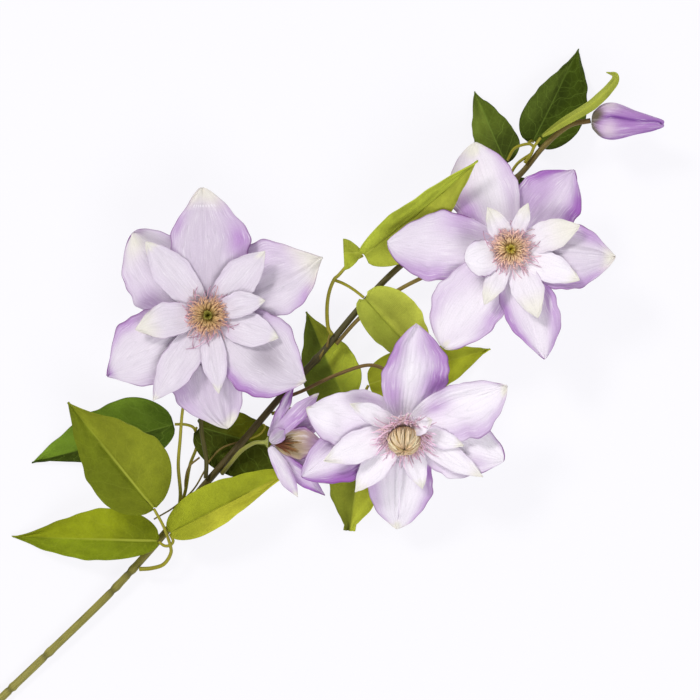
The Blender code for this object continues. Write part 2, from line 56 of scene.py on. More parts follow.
MM = 0.001
ROW_SHIFT = np.array([24.8, 25.9, 0.0])  # from the flowers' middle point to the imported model's frame
UP = np.array([0.0, 0.0, 1.0])
NORTH = np.array([0.0, 1.0, 0.0])
FLOOR_CLEARANCE = 0.1

PETAL_THICKNESS = 0.6
LEAF_THICKNESS = 0.7
POINT_THICKNESS = 0.45  # share of the thickness that is left where a sheet ends in a point
FULL_BREADTH = 6.0  # breadth of sheet over which the thickness would grow by the whole of itself

GAP = 0.3  # between pieces that rest on each other
LAYER = PETAL_THICKNESS + GAP
PETAL_ROOT = 3.0  # radius that the outer petals start at
INNER_ROOT = 1.5
DISC_RADIUS = 5.0
DISC_HEIGHT = 3.0
DISC_CLEARANCE = 1.7  # from the top petal's base to the disc

PETAL_GRID = (110, 65)  # points from base to tip, and from edge to edge
INNER_GRID = (70, 41)
CUP_GRID = (60, 37)
LEAF_GRID = (96, 57)
STEM_STEP = 0.8
STEM_SIDES = 14
THREAD_SIDES = 5
THREAD_STEPS = 9
DISC_SIDES = 24
DISC_STEPS = 10
STEM_GROOVES = 5

INNER_SEED = 20  # added to a flower's seed for its inner whorl, and for its stamens
STAMEN_SEED = 50
CUP_SEED = 300
LEAF_SEED = 400


class Colour(Enum):
    """The colours of the petals, as sRGB hex: the printed colours, and a grey, the last, for painted shade."""

    WHITE = "#f6f1f8"
    SNOW = "#f0eaf2"
    PEARL = "#e0d8e3"
    MIST = "#d2c8d6"
    LILAC = "#d0bcd9"
    ORCHID = "#b88fc9"
    VIOLET = "#9a5ab2"
    PLUM = "#7d4488"
    CREAM = "#ebe8da"
    BEIGE = "#c4b184"
    # a grey for painted shade, not a printed colour
    ASH = "#a99fac"


WHITE, SNOW, PEARL, MIST, LILAC, ORCHID, VIOLET, PLUM, CREAM, BEIGE, ASH = Colour


def linear(hex_colour: str) -> Array:
    """Linear red, green and blue of an sRGB hex colour, by the standard's curve.

    Args:
        hex_colour: The colour as "#rrggbb".

    Returns:
        Three values from 0 to 1.
    """
    srgb = np.array([int(hex_colour[i : i + 2], 16) for i in (1, 3, 5)]) / 255
    return np.where(srgb <= 0.04045, srgb / 12.92, ((srgb + 0.055) / 1.055) ** 2.4)


def unit(vectors: Array) -> Array:
    """The vectors scaled to length 1."""
    return vectors / np.maximum(np.linalg.norm(vectors, axis=-1, keepdims=True), 1e-12)


def ramp(value: Array, low: float, high: float) -> Array:
    """A smooth step from 0 at low to 1 at high: three times the square less twice the cube."""
    share = np.clip((value - low) / (high - low), 0, 1)
    return share * share * (3 - 2 * share)


def bell(value: Array, width: float) -> Array:
    """A Gaussian: 1 where the value is 0, and falling with its square over that width."""
    return np.exp(-((value / width) ** 2))


def mix(first: Array, second: Array, share: Array) -> Array:
    """First to second by a share from 0 to 1, for colours over a grid."""
    share = np.clip(share, 0, 1)[..., None]
    return first * (1 - share) + second * share


def smooth_curve(points: Array, at: Array) -> Array:
    """Positions on the Catmull-Rom curve through the points.

    Args:
        points: The points, one row each.
        at: Places on the curve, from 0 at the first point to 1 at the last.

    Returns:
        One position for each place.
    """
    ends = np.vstack([2 * points[0] - points[1], points, 2 * points[-1] - points[-2]])
    place = np.clip(at, 0, 1) * (len(points) - 1)
    span = np.minimum(place.astype(int), len(points) - 2)
    t = (place - span)[..., None]
    before, first, second, after = (ends[span + i] for i in range(4))
    return 0.5 * (
        2 * first
        + (second - before) * t
        + (2 * before - 5 * first + 4 * second - after) * t**2
        + (3 * first - before - 3 * second + after) * t**3
    )


def path_length(points: Array) -> float:
    """Length of the straight lines between the points."""
    return float(np.linalg.norm(np.diff(points, axis=0), axis=1).sum())


def drift(along: Array, across: Array, seed: int, waves: float) -> Array:
    """An uneven value between about -1 and 1: five slanted sine waves with seeded directions, added and scaled.

    Args:
        along: Places along the blade.
        across: Places across it.
        seed: Which pattern.
        waves: How many waves fit in a length of 1.

    Returns:
        The value at each place.
    """
    rng = np.random.default_rng(seed)
    total = np.zeros(np.broadcast(along, across).shape)
    for _ in range(5):
        turn, phase = rng.uniform(0, 2 * np.pi, 2)
        pace = 2 * np.pi * waves * rng.uniform(0.5, 1.4)
        total += np.sin(pace * (np.cos(turn) * along + 0.5 * np.sin(turn) * across) + phase)
    return total / 2.5


# ------------------------------------------------------------------------------------------------------------
# Meshes


@dataclass
class Surface:
    """Closed mesh data, in millimetres.

    Attributes:
        points: One row for each point.
        faces: Four point numbers for each face that is shaded smooth.
        cut: Point numbers of the cut edges and ends, which are shaded flat.
        tint: Linear colour of each point.
        chart: Where each point lies on the material's pattern.
        across: Distance of each point from the blade's midrib, left positive.
    """

    points: Array
    faces: Array
    cut: Array
    tint: Array
    chart: Array
    across: Array


def joined(parts: list[Surface]) -> Surface:
    """One surface from several, whose cut edges come last.

    Args:
        parts: The surfaces, with cut faces of the same number of corners.

    Returns:
        All their points and faces together.
    """
    starts = np.cumsum([0, *(len(part.points) for part in parts[:-1])])
    return Surface(
        points=np.concatenate([part.points for part in parts]),
        faces=np.concatenate([part.faces + start for part, start in zip(parts, starts)]),
        cut=np.concatenate([part.cut + start for part, start in zip(parts, starts)]),
        tint=np.concatenate([part.tint for part in parts]),
        chart=np.concatenate([part.chart for part in parts]),
        across=np.concatenate([part.across for part in parts]),
    )


def add_piece(name: str, surface: Surface, material: bpy.types.Material, node: str) -> None:
    """Puts a surface into the scene as a piece of the spray, at the origin, with its place in its mesh.

    Args:
        name: The piece's name.
        surface: Its mesh data.
        material: Its finish.
        node: The plain solid that it stands for.
    """
    mesh = bpy.data.meshes.new(name)
    corners = surface.faces.tolist() + surface.cut.tolist()
    mesh.from_pydata(((surface.points + ROW_SHIFT) * MM).tolist(), [], corners)
    rgba = np.ones((len(surface.points), 4), np.float32)
    rgba[:, :3] = np.clip(surface.tint, 0, 1)
    mesh.attributes.new("tint", "FLOAT_COLOR", "POINT").data.foreach_set("color", rgba.ravel())
    across = surface.across.astype(np.float32)
    mesh.attributes.new("across", "FLOAT", "POINT").data.foreach_set("value", across)
    numbers = np.empty(len(mesh.loops), np.int32)
    mesh.loops.foreach_get("vertex_index", numbers)
    chart = surface.chart[numbers].astype(np.float32).ravel()
    mesh.uv_layers.new(name="chart").data.foreach_set("uv", chart)
    mesh.polygons.foreach_set("use_smooth", np.arange(len(corners)) < len(surface.faces))
    mesh.materials.append(material)
    mesh.update()
    piece = bpy.data.objects.new(name, mesh)
    bpy.context.scene.collection.objects.link(piece)
    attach(piece, "root")
    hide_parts(node)
    LOG.info("%s: %d faces", name, len(corners))


def grid_faces(number: Array) -> Array:
    """Four corners for each face of a grid of point numbers, which runs row by row.

    Args:
        number: The point numbers, one row of the grid in each row.

    Returns:
        Four point numbers for each face.
    """
    corners = (number[:-1, :-1], number[1:, :-1], number[1:, 1:], number[:-1, 1:])
    return np.stack(corners, axis=-1).reshape(-1, 4)


def shell(
    middle: Array, thickness: float, tint: Array, rim_tint: Array, chart: Array, across: Array
) -> Surface:
    """A sheet given its thickness: the grid moved half of it up and down along its normal, and a rim between.
    The thickness falls where the sheet is narrow, so that it ends in a thin point.

    Args:
        middle: Grid of points, rows from base to tip and columns from right to left.
        thickness: In millimetres.
        tint: Colours over the grid.
        rim_tint: Colours of the cut edge over the grid.
        chart: Pattern coordinates over the grid.
        across: Distance from the midrib over the grid.

    Returns:
        The closed surface.
    """
    rows, columns = middle.shape[:2]
    normal = unit(np.cross(np.gradient(middle, axis=0), np.gradient(middle, axis=1)))
    breadth = np.linalg.norm(middle[:, -1] - middle[:, 0], axis=-1)
    half = normal * np.minimum(1, POINT_THICKNESS + breadth / FULL_BREADTH)[:, None, None] * thickness / 2
    number = np.arange(rows * columns).reshape(rows, columns)
    edge = np.concatenate([number[:-1, 0], number[-1, :-1], number[:0:-1, -1], number[0, :0:-1]])
    beside = np.roll(edge, -1)
    rim = np.stack([edge, edge + number.size, beside + number.size, beside], axis=-1)
    colours = tint.reshape(-1, 3).copy()
    colours[edge] = rim_tint.reshape(-1, 3)[edge]
    return Surface(
        points=np.concatenate([middle + half, middle - half]).reshape(-1, 3),
        faces=np.concatenate([grid_faces(number), grid_faces(number + number.size)[:, ::-1]]),
        cut=rim,
        tint=np.tile(colours, (2, 1)),
        chart=np.tile(chart.reshape(-1, 2), (2, 1)),
        across=np.tile(across.ravel(), 2),
    )


def sweep(paths: Array, radii: Array, side: Array, sides: int, tint: Array, groove: float = 0.0) -> Surface:
    """Round tubes with closed ends: at each path point a ring of radius r in the plane square to the path.

    Args:
        paths: Path points, as tubes by points by three.
        radii: Radius at each point of each tube.
        side: A direction square to each tube's path, or nearly, that its ring starts from.
        sides: Points in a ring.
        tint: Colour at each point of each tube.
        groove: Depth of the long grooves, as a share of the radius.

    Returns:
        All the tubes as one surface.
    """
    count, steps = paths.shape[:2]
    ahead = unit(np.gradient(paths, axis=1))
    first = unit(side - ahead * (side * ahead).sum(axis=-1, keepdims=True))
    second = np.cross(ahead, first)
    turn = np.linspace(0, 2 * np.pi, sides, endpoint=False)
    fluted = 1 + groove * np.cos(STEM_GROOVES * turn)
    spoke = np.cos(turn)[:, None] * first[:, :, None] + np.sin(turn)[:, None] * second[:, :, None]
    rings = paths[:, :, None] + spoke * (radii[:, :, None] * fluted)[..., None]
    number = np.arange(count * steps * sides).reshape(count, steps, sides)
    beside = np.roll(number, -1, axis=2)
    walls = np.stack([number[:, :-1], beside[:, :-1], beside[:, 1:], number[:, 1:]], axis=-1)
    gone = np.linalg.norm(np.diff(paths, axis=1, prepend=paths[:, :1]), axis=-1).cumsum(axis=1)
    girth = turn * radii.max()
    return Surface(
        points=rings.reshape(-1, 3),
        faces=walls.reshape(-1, 4),
        cut=np.concatenate([number[:, 0, ::-1], number[:, -1]]),
        tint=np.broadcast_to(tint[:, :, None], rings.shape).reshape(-1, 3),
        chart=np.stack(np.broadcast_arrays(girth[None, None], gone[:, :, None]), axis=-1).reshape(-1, 2),
        across=np.zeros(number.size),
    )


# ------------------------------------------------------------------------------------------------------------
# Finishes


def add_node(
    tree: bpy.types.NodeTree, kind: str, settings: dict | None = None, sockets: dict | None = None
) -> bpy.types.NodeSocket:
    """Adds a node with its settings, its values and its links.

    Args:
        tree: Where it goes.
        kind: The node's type, without "ShaderNode".
        settings: Its properties.
        sockets: Input name or number to a value, or to the output socket that feeds it.

    Returns:
        The first of its outputs that is in use.
    """
    made = tree.nodes.new(f"ShaderNode{kind}")
    for key, value in (settings or {}).items():
        setattr(made, key, value)
    for key, value in (sockets or {}).items():
        if isinstance(value, bpy.types.NodeSocket):
            tree.links.new(value, made.inputs[key])
        else:
            made.inputs[key].default_value = value
    return next(socket for socket in made.outputs if socket.enabled)


def new_finish(
    name: str, roughness: float, specular: float, sheen: float = 0.0
) -> tuple[bpy.types.Material, bpy.types.NodeTree]:
    """A material with one Principled shader.

    Args:
        name: The material's name.
        roughness: Of its surface.
        specular: Its specular level.
        sheen: Of loose fibres on cloth.

    Returns:
        The material and its tree.
    """
    material = bpy.data.materials.new(name)
    material.use_nodes = True
    shader = material.node_tree.nodes["Principled BSDF"]
    shader.inputs["Roughness"].default_value = roughness
    shader.inputs["Specular IOR Level"].default_value = specular
    shader.inputs["Sheen Weight"].default_value = sheen
    return material, material.node_tree


def finish_with(
    tree: bpy.types.NodeTree, colour: bpy.types.NodeSocket, height: bpy.types.NodeSocket, depth: float
) -> None:
    """Feeds the shader its colour and its fine relief.

    Args:
        tree: The material's tree.
        colour: The base colour.
        height: The relief, where 1 is its full depth.
        depth: That depth in millimetres.
    """
    bump = add_node(tree, "Bump", {}, {"Height": height, "Distance": depth * MM, "Strength": 0.8})
    shader = tree.nodes["Principled BSDF"]
    tree.links.new(colour, shader.inputs["Base Color"])
    tree.links.new(bump, shader.inputs["Normal"])


def weave_height(tree: bpy.types.NodeTree, chart: bpy.types.NodeSocket, pitch: float) -> bpy.types.NodeSocket:
    """Height of a plain weave: two sine bands of the thread pitch, multiplied.

    Args:
        tree: The material's tree.
        chart: Pattern coordinates in millimetres.
        pitch: Thread spacing.

    Returns:
        The height, from 0 to 1.
    """
    threads = {"Vector": chart, "Scale": math.tau / 20 / pitch, "Distortion": 0.6}
    warp = add_node(tree, "TexWave", {"bands_direction": "X"}, threads)
    weft = add_node(tree, "TexWave", {"bands_direction": "Y"}, threads)
    return add_node(tree, "Math", {"operation": "MULTIPLY"}, {0: warp, 1: weft})


@dataclass(frozen=True)
class PetalCloth:
    """Satin polyester cloth, printed in lilac and hot-pressed on a mould whose fine rays run from base to tip.
    The press leaves a soft silky gloss, and the paler streaks on the raised rays are painted sheen.

    Attributes:
        name: The material's name.
        ray: Width of a pressed ray, in millimetres.
        ray_length: Its length.
        vein: Spacing of the printed veins.
        vein_length: How far one runs before it bends.
        zone: Size of the areas where the rays come and go.
        fibre: Size of the cloth's uneven fibres.
        pitch: Thread spacing, drawn at twice the real 0.3 mm so that it shows.
        relief: Depth of the rays.
    """

    name: str = "printed_petal_cloth"
    ray: float = 0.75
    ray_length: float = 11.0
    vein: float = 6.0
    vein_length: float = 45.0
    zone: float = 11.0
    fibre: float = 1 / 1.2
    pitch: float = 0.6
    relief: float = 0.2

    def build(self) -> bpy.types.Material:
        """Makes the material: the print, with painted sheen lighter on the raised rays where they show and
        painted shade darker in the grooves between them, darker on thin veins, and uneven with the fibres.

        Returns:
            The material.
        """
        material, tree = new_finish(self.name, 0.62, 0.25, 0.1)
        add, multiply = partial(add_node, tree), {"operation": "MULTIPLY"}
        chart = add("UVMap", {"uv_map": "chart"})
        tint = add("Attribute", {"attribute_name": "tint"})
        drawn = add("Mapping", {}, {"Vector": chart, "Scale": (1 / self.ray, 1 / self.ray_length, 1.0)})
        rays = add("TexNoise", {}, {"Vector": drawn, "Scale": 1.0, "Detail": 3.0, "Roughness": 0.6})
        zones = add("TexNoise", {}, {"Vector": chart, "Scale": 1 / self.zone, "Detail": 1.0})
        here = add("MapRange", {}, {"Value": zones, "From Min": 0.44, "From Max": 0.6, "To Min": 0.12})
        # Painted sheen: the colour goes towards white on the raised rays, where the zones let them show.
        pale = add("MapRange", {}, {"Value": rays, "From Min": 0.5, "From Max": 0.7, "To Max": 0.72})
        share = add("Math", multiply, {0: here, 1: pale})
        snow = (*linear(SNOW.value), 1.0)
        painted_sheen_tint = add("Mix", {"data_type": "RGBA"}, {0: share, 6: tint, 7: snow})
        # Painted shade: darker in the grooves between the rays.
        painted_groove_shade = add("MapRange", {}, {"Value": rays, "From Min": 0.28, "From Max": 0.5, "To Min": 0.94})
        long = add("Mapping", {}, {"Vector": chart, "Scale": (1 / self.vein, 1 / self.vein_length, 1.0)})
        lines = add("TexNoise", {}, {"Vector": long, "Scale": 1.0, "Detail": 0.0})
        off = add("Math", {"operation": "PINGPONG"}, {0: lines, 1: 0.1})
        veins = add("MapRange", {}, {"Value": off, "From Min": 0.0, "From Max": 0.016, "To Min": 0.92})
        fibres = add(
            "TexNoise", {},
            {"Vector": chart, "Scale": 1 / self.fibre, "Detail": 3.0, "Roughness": 0.7},
        )
        grain = add(
            "MapRange", {},
            {"Value": fibres, "From Min": 0.3, "From Max": 0.7, "To Min": 0.95, "To Max": 1.04},
        )
        lined = add("Math", multiply, {0: painted_groove_shade, 1: veins})
        shade = add("Math", multiply, {0: lined, 1: grain})
        shaded = add("VectorMath", {"operation": "SCALE"}, {0: painted_sheen_tint, "Scale": shade})
        weave = weave_height(tree, chart, self.pitch)
        height = add("Math", {"operation": "MULTIPLY_ADD"}, {0: weave, 1: 0.2, 2: rays})
        finish_with(tree, shaded, height, self.relief)
        return material


@dataclass(frozen=True)
class LeafCloth:
    """Printed polyester leaf cloth, pressed on a mould: a midrib, side veins, a fine net and a visible weave.
    It is matt, because nothing coats the fibres.

    Attributes:
        name: The material's name.
        vein: Colour of the veins, as sRGB hex.
        sides: How much of it the side veins show.
        midrib: How much of it the midrib shows.
        spacing: Between side veins.
        slope: How far a side vein runs back for each millimetre away from the midrib.
        bend: How far the side veins wander.
        net: Size of the net's cells.
        patch: Size of the patches where the print is uneven.
        fibre: Size of the cloth's uneven fibres.
        pitch: Thread spacing, drawn at twice the real 0.35 mm so that it shows.
        relief: Depth of the veins.
    """

    name: str
    vein: str
    sides: float
    midrib: float
    spacing: float = 9.0
    slope: float = 1.1
    bend: float = 12.0
    net: float = 4.6
    patch: float = 1 / 0.13
    fibre: float = 1 / 0.9
    pitch: float = 0.7
    relief: float = 0.14

    def build(self) -> bpy.types.Material:
        """Makes the material: the print, uneven with fibres and patches, under the veins' colour. Side veins
        lie where the place along, less the slope times the distance from the midrib, is a multiple of their
        spacing.

        Returns:
            The material.
        """
        material, tree = new_finish(self.name, 0.6, 0.06)
        add, most, times_plus = partial(add_node, tree), {"operation": "MAXIMUM"}, {"operation": "MULTIPLY_ADD"}
        chart = add("UVMap", {"uv_map": "chart"})
        tint = add("Attribute", {"attribute_name": "tint"})
        across = add("Attribute", {"attribute_name": "across"}).node.outputs["Fac"]
        along = add("SeparateXYZ", {}, {0: chart}).node.outputs["Y"]
        beside = add("Math", {"operation": "ABSOLUTE"}, {0: across})
        wobble = add("TexNoise", {}, {"Vector": chart, "Scale": 0.1, "Detail": 1.5})
        drawn = add("Math", times_plus, {0: wobble, 1: self.bend, 2: along})
        slant = add("Math", times_plus, {0: beside, 1: -self.slope, 2: drawn})
        off = add("Math", {"operation": "PINGPONG"}, {0: slant, 1: self.spacing / 2})
        vein = add(
            "MapRange", {},
            {"Value": off, "From Min": 0.1, "From Max": 0.4, "To Min": self.sides, "To Max": 0.0},
        )
        rib = add(
            "MapRange", {},
            {"Value": beside, "From Min": 0.15, "From Max": 0.6, "To Min": self.midrib, "To Max": 0.0},
        )
        fade = add(
            "MapRange", {},
            {"Value": along, "From Min": 22.0, "From Max": 52.0, "To Min": 1.0, "To Max": 0.25},
        )
        spine = add("Math", {"operation": "MULTIPLY"}, {0: rib, 1: fade})
        cells = add("TexVoronoi", {"feature": "DISTANCE_TO_EDGE"}, {"Vector": chart, "Scale": 1 / self.net})
        net = add(
            "MapRange", {},
            {"Value": cells, "From Min": 0.01, "From Max": 0.09, "To Min": 0.34 * self.sides, "To Max": 0.0},
        )
        finer = add("Math", most, {0: vein, 1: net})
        veins = add("Math", most, {0: finer, 1: spine})
        fibres = add(
            "TexNoise", {},
            {"Vector": chart, "Scale": 1 / self.fibre, "Detail": 4.0, "Roughness": 0.75},
        )
        patches = add("TexNoise", {}, {"Vector": chart, "Scale": 1 / self.patch, "Detail": 3.0})
        uneven = add("Math", {"operation": "ADD"}, {0: fibres, 1: patches})
        shade = add(
            "MapRange", {},
            {"Value": uneven, "From Min": 0.7, "From Max": 1.3, "To Min": 0.82, "To Max": 1.18},
        )
        ground = add("VectorMath", {"operation": "SCALE"}, {0: tint, "Scale": shade})
        line = (*linear(self.vein), 1.0)
        coloured = add("Mix", {"data_type": "RGBA"}, {0: veins, 6: ground, 7: line})
        weave = weave_height(tree, chart, self.pitch)
        height = add("Math", times_plus, {0: veins, 1: -2.0, 2: weave})
        finish_with(tree, coloured, height, self.relief)
        return material


@dataclass(frozen=True)
class MouldedPlastic:
    """Matt polyethylene moulded over wire and brushed with thin paint: long streaks and darker patches.

    Attributes:
        name: The material's name.
        streak: Length of a brushed streak.
        contrast: How far the paint's patches darken and lighten it.
        roughness: Of the surface.
        width: Of a streak.
        relief: Depth of the brush marks.
    """

    name: str
    streak: float
    contrast: float
    roughness: float = 0.5
    width: float = 1 / 0.6
    relief: float = 0.12

    def build(self) -> bpy.types.Material:
        """Makes the material: the paint's colour times a noise that is drawn out along the stem.

        Returns:
            The material.
        """
        material, tree = new_finish(self.name, self.roughness, 0.2)
        add = partial(add_node, tree)
        chart = add("UVMap", {"uv_map": "chart"})
        tint = add("Attribute", {"attribute_name": "tint"})
        drawn = add("Mapping", {}, {"Vector": chart, "Scale": (1 / self.width, 1 / self.streak, 1.0)})
        streaks = add("TexNoise", {}, {"Vector": drawn, "Scale": 1.0, "Detail": 4.0, "Roughness": 0.65})
        darker, lighter = 1 - self.contrast, 1 + self.contrast
        shade = add(
            "MapRange", {},
            {"Value": streaks, "From Min": 0.3, "From Max": 0.7, "To Min": darker, "To Max": lighter},
        )
        painted = add("VectorMath", {"operation": "SCALE"}, {0: tint, "Scale": shade})
        finish_with(tree, painted, streaks, self.relief)
        return material


# ------------------------------------------------------------------------------------------------------------
# Petals and leaves


@dataclass(frozen=True)
class Edge:
    """One side of a blade: its widest half-width, where that is along it, and how slim it runs into the tip."""

    width: float
    belly: float = 0.55
    point: float = 1.0


@dataclass(frozen=True)
class Spot:
    """A soft round place on a blade, with its spreads along and across."""

    along: float
    across: float
    long: float
    wide: float

    def share(self, along: Array, across: Array) -> Array:
        """How much of it there is at each place, from 0 to 1: a Gaussian in both directions."""
        away = ((along - self.along) / self.long) ** 2 + ((across - self.across) / self.wide) ** 2
        return np.exp(-away)


@dataclass(frozen=True)
class Patch(Spot):
    """A spot of colour: print, and on a few petals painted shade."""

    colour: Colour
    strength: float


@dataclass(frozen=True)
class ShadowBand(Spot):
    """A painted shadow: a spot where the colour is darker by that share."""

    strength: float


@dataclass(frozen=True)
class Dent(Spot):
    """A hollow or a swelling of that height in millimetres."""

    height: float


@dataclass(frozen=True)
class Fold:
    """A pressed crease between two places (along, across), with its width as a share of the half-width."""

    start: tuple[float, float]
    end: tuple[float, float]
    width: float
    height: float

    def ridge(self, along: Array, across: Array) -> Array:
        """Its height: a Gaussian of the distance from the line between its ends. A place along counts 3.5
        times, because a blade is about that many times as long as its half-width.

        Args:
            along: Places along, as a column.
            across: Places across, as a row.

        Returns:
            Millimetres at each place.
        """
        (along_0, across_0), (along_1, across_1) = self.start, self.end
        if abs(along_1 - along_0) > abs(across_1 - across_0):
            reach = np.clip((along - along_0) / (along_1 - along_0), 0, 1)
        else:
            reach = np.clip((across - across_0) / (across_1 - across_0), 0, 1)
        off_across = across - (across_0 + (across_1 - across_0) * reach)
        off_along = (along - (along_0 + (along_1 - along_0) * reach)) * 3.5
        return self.height * np.exp(-(off_across**2 + off_along**2) / self.width**2)


@dataclass(frozen=True)
class Relief:
    """What the press and the hand do to a blade beyond its plain surface, in millimetres.

    Attributes:
        rib: Height of the three ribs along the middle.
        pleat: Height of the fine pleats beside them.
        wave: Rise and fall of the edges.
        waves: How many of those from base to tip.
        crumple: Uneven rise and fall all over.
        curl: Rise of the tip.
        crease: Rise of both halves away from the midrib, as a share of the half-width.
        ruffle: Unevenness of the outline, as a share of the half-width.
        dents: Hollows and swellings.
        folds: Creases.
    """

    rib: float = 0.1
    pleat: float = 0.03
    wave: float = 0.8
    waves: float = 2.2
    crumple: float = 0.7
    curl: float = 0.0
    crease: float = 0.0
    ruffle: float = 0.028
    dents: tuple[Dent, ...] = ()
    folds: tuple[Fold, ...] = ()

    def height(self, along: Array, across: Array, half: Array, seed: int) -> Array:
        """Height over the plain surface: ribs and pleats as narrow Gaussians and sines of the place across,
        faded out at base and tip; edges as a sine along, growing with the cube of the place across; and the
        crumples, curl, crease, dents and folds added.

        Args:
            along: Places along, as a column.
            across: Places across, as a row.
            half: Half-width at each place.
            seed: Which uneven pattern.

        Returns:
            Millimetres at each place.
        """
        beside = np.abs(across)
        body = np.sin(np.pi * along) ** 0.6
        ribs = sum(bell(across - place, 0.035) for place in (-0.16, 0.0, 0.16)) * -self.rib
        wander = drift(along, across, seed + 7, 0.8)
        pleats = self.pleat * np.sin(2 * np.pi * (5.5 * across + 0.6 * wander))
        phase = np.where(across > 0, 0.0, 1.7) + seed
        rolling = np.sin(2 * np.pi * self.waves * along + phase) * ramp(along, 0.15, 0.5)
        uneven = drift(along, across, seed, 1.5) + 0.45 * drift(along, across, seed + 11, 3.4)
        total = (ribs + pleats) * body + self.wave * beside**3 * rolling
        total = total + self.crumple * uneven * ramp(along, 0.1, 0.45)
        total = total + self.curl * ramp(along, 0.72, 1.05) ** 2 + self.crease * half * beside
        for dent in self.dents:
            total = total + dent.height * dent.share(along, across)
        for fold in self.folds:
            total = total + fold.ridge(along, across)
        return total


SOFT = Relief(rib=0.0, pleat=0.0, wave=1.0, crease=0.1)


@dataclass(frozen=True)
class Print:
    """The colours of a petal: print, with a few patches of painted shade.

    Attributes:
        body: Colour of the middle.
        margin: Colour towards the edges.
        left: How strong that is at the left edge.
        right: And at the right.
        reach: How far in it reaches, as a share of the half-width.
        blush: Lilac all over.
        tip: Length of the cream tip, as a share.
        rim: How strong the thin dark line on the edge is.
        patches: Patches of other colour.
        dotted: Place along of a dotted press mark, or 0 for none.
    """

    body: Colour = WHITE
    margin: Colour = ORCHID
    left: float = 0.5
    right: float = 0.5
    reach: float = 0.3
    blush: float = 0.25
    tip: float = 0.08
    rim: float = 0.6
    patches: tuple[Patch, ...] = ()
    dotted: float = 0.0

    def colours(self, along: Array, across: Array, seed: int) -> tuple[Array, Array]:
        """Colours over a petal: body to lilac by the blush, to the margin's colour by a Gaussian of the
        distance from the edge, then the patches, the cream tip, the dark edge and the dotted mark.

        Args:
            along: Places along, as a column.
            across: Places across, as a row.
            seed: Which uneven pattern.

        Returns:
            The colours, and those of the cut edge.
        """
        along, across = np.broadcast_arrays(along, across)
        beside = np.abs(across)
        uneven = drift(along, across, seed + 3, 1.8)
        plum, white = linear(PLUM.value), linear(WHITE.value)
        body = np.broadcast_to(linear(self.body.value), (*along.shape, 3))
        tint = mix(body, linear(LILAC.value), self.blush * (0.8 + 0.4 * uneven) * (0.6 + 0.6 * beside))
        near = bell(1 - beside, self.reach) * ramp(along, 0.1, 0.45)
        side = np.where(across > 0, self.left, self.right) * (0.8 + 0.5 * uneven)
        tint = mix(tint, linear(self.margin.value), near * side)
        for patch in self.patches:
            tint = mix(tint, linear(patch.colour.value), patch.strength * patch.share(along, across))
        cream = np.zeros(along.shape)
        if self.tip:
            cream = ramp(along + 0.03 * uneven, 1 - 1.9 * self.tip, 1 - 0.3 * self.tip)
        tint = mix(tint, linear(CREAM.value), 0.85 * cream)
        dark = self.rim * (1 - 0.8 * cream) * ramp(along, 0.15, 0.5) * (1 + 0.5 * uneven)
        tint = mix(tint, plum, 0.6 * dark * ramp(beside, 0.93, 1.0))
        if self.dotted:
            dots = (beside < 0.55) * (np.cos(48 * across) > 0.0) * bell(along - self.dotted, 0.007)
            tint = mix(tint, white, dots)
        return tint, mix(tint, plum, dark)


@dataclass(frozen=True)
class LeafLook:
    """The colours of a leaf: its print, with painted shade on a half that faces away from the light and painted
    shadows where other parts lie over it.

    Attributes:
        left: Colour of its left half, as sRGB hex.
        right: Colour of its right half.
        base: Colour near the stalk.
        dark: Whether it is one of the deep green leaves.
        relief: What is pressed into it.
        bands: Painted shadows, darker spots where other parts lie over the leaf.
    """

    left: str
    right: str
    base: str
    dark: bool = False
    relief: Relief = SOFT
    bands: tuple[ShadowBand, ...] = ()

    def colours(self, along: Array, across: Array, seed: int) -> tuple[Array, Array]:
        """Colours over a leaf: right to left by a narrow step at the midrib, to the base's colour near the
        stalk, darkened in the bands of painted shadow.

        Args:
            along: Places along, as a column.
            across: Places across, as a row.
            seed: Which uneven pattern.

        Returns:
            The colours, and those of the cut edge.
        """
        along, across = np.broadcast_arrays(along, across)
        uneven = drift(along, across, seed + 3, 1.5)
        right = np.broadcast_to(linear(self.right), (*along.shape, 3))
        tint = mix(right, linear(self.left), ramp(across, -0.06, 0.06))
        tint = mix(tint, linear(self.base), 0.7 * (1 - ramp(along + 0.08 * uneven, 0.02, 0.35)))
        tint = tint * (1 + 0.12 * uneven)[..., None]
        for shadow_band in self.bands:
            tint = tint * (1 - shadow_band.strength * shadow_band.share(along, across))[..., None]
        return tint, tint * (0.55 if self.dark else 1.15)


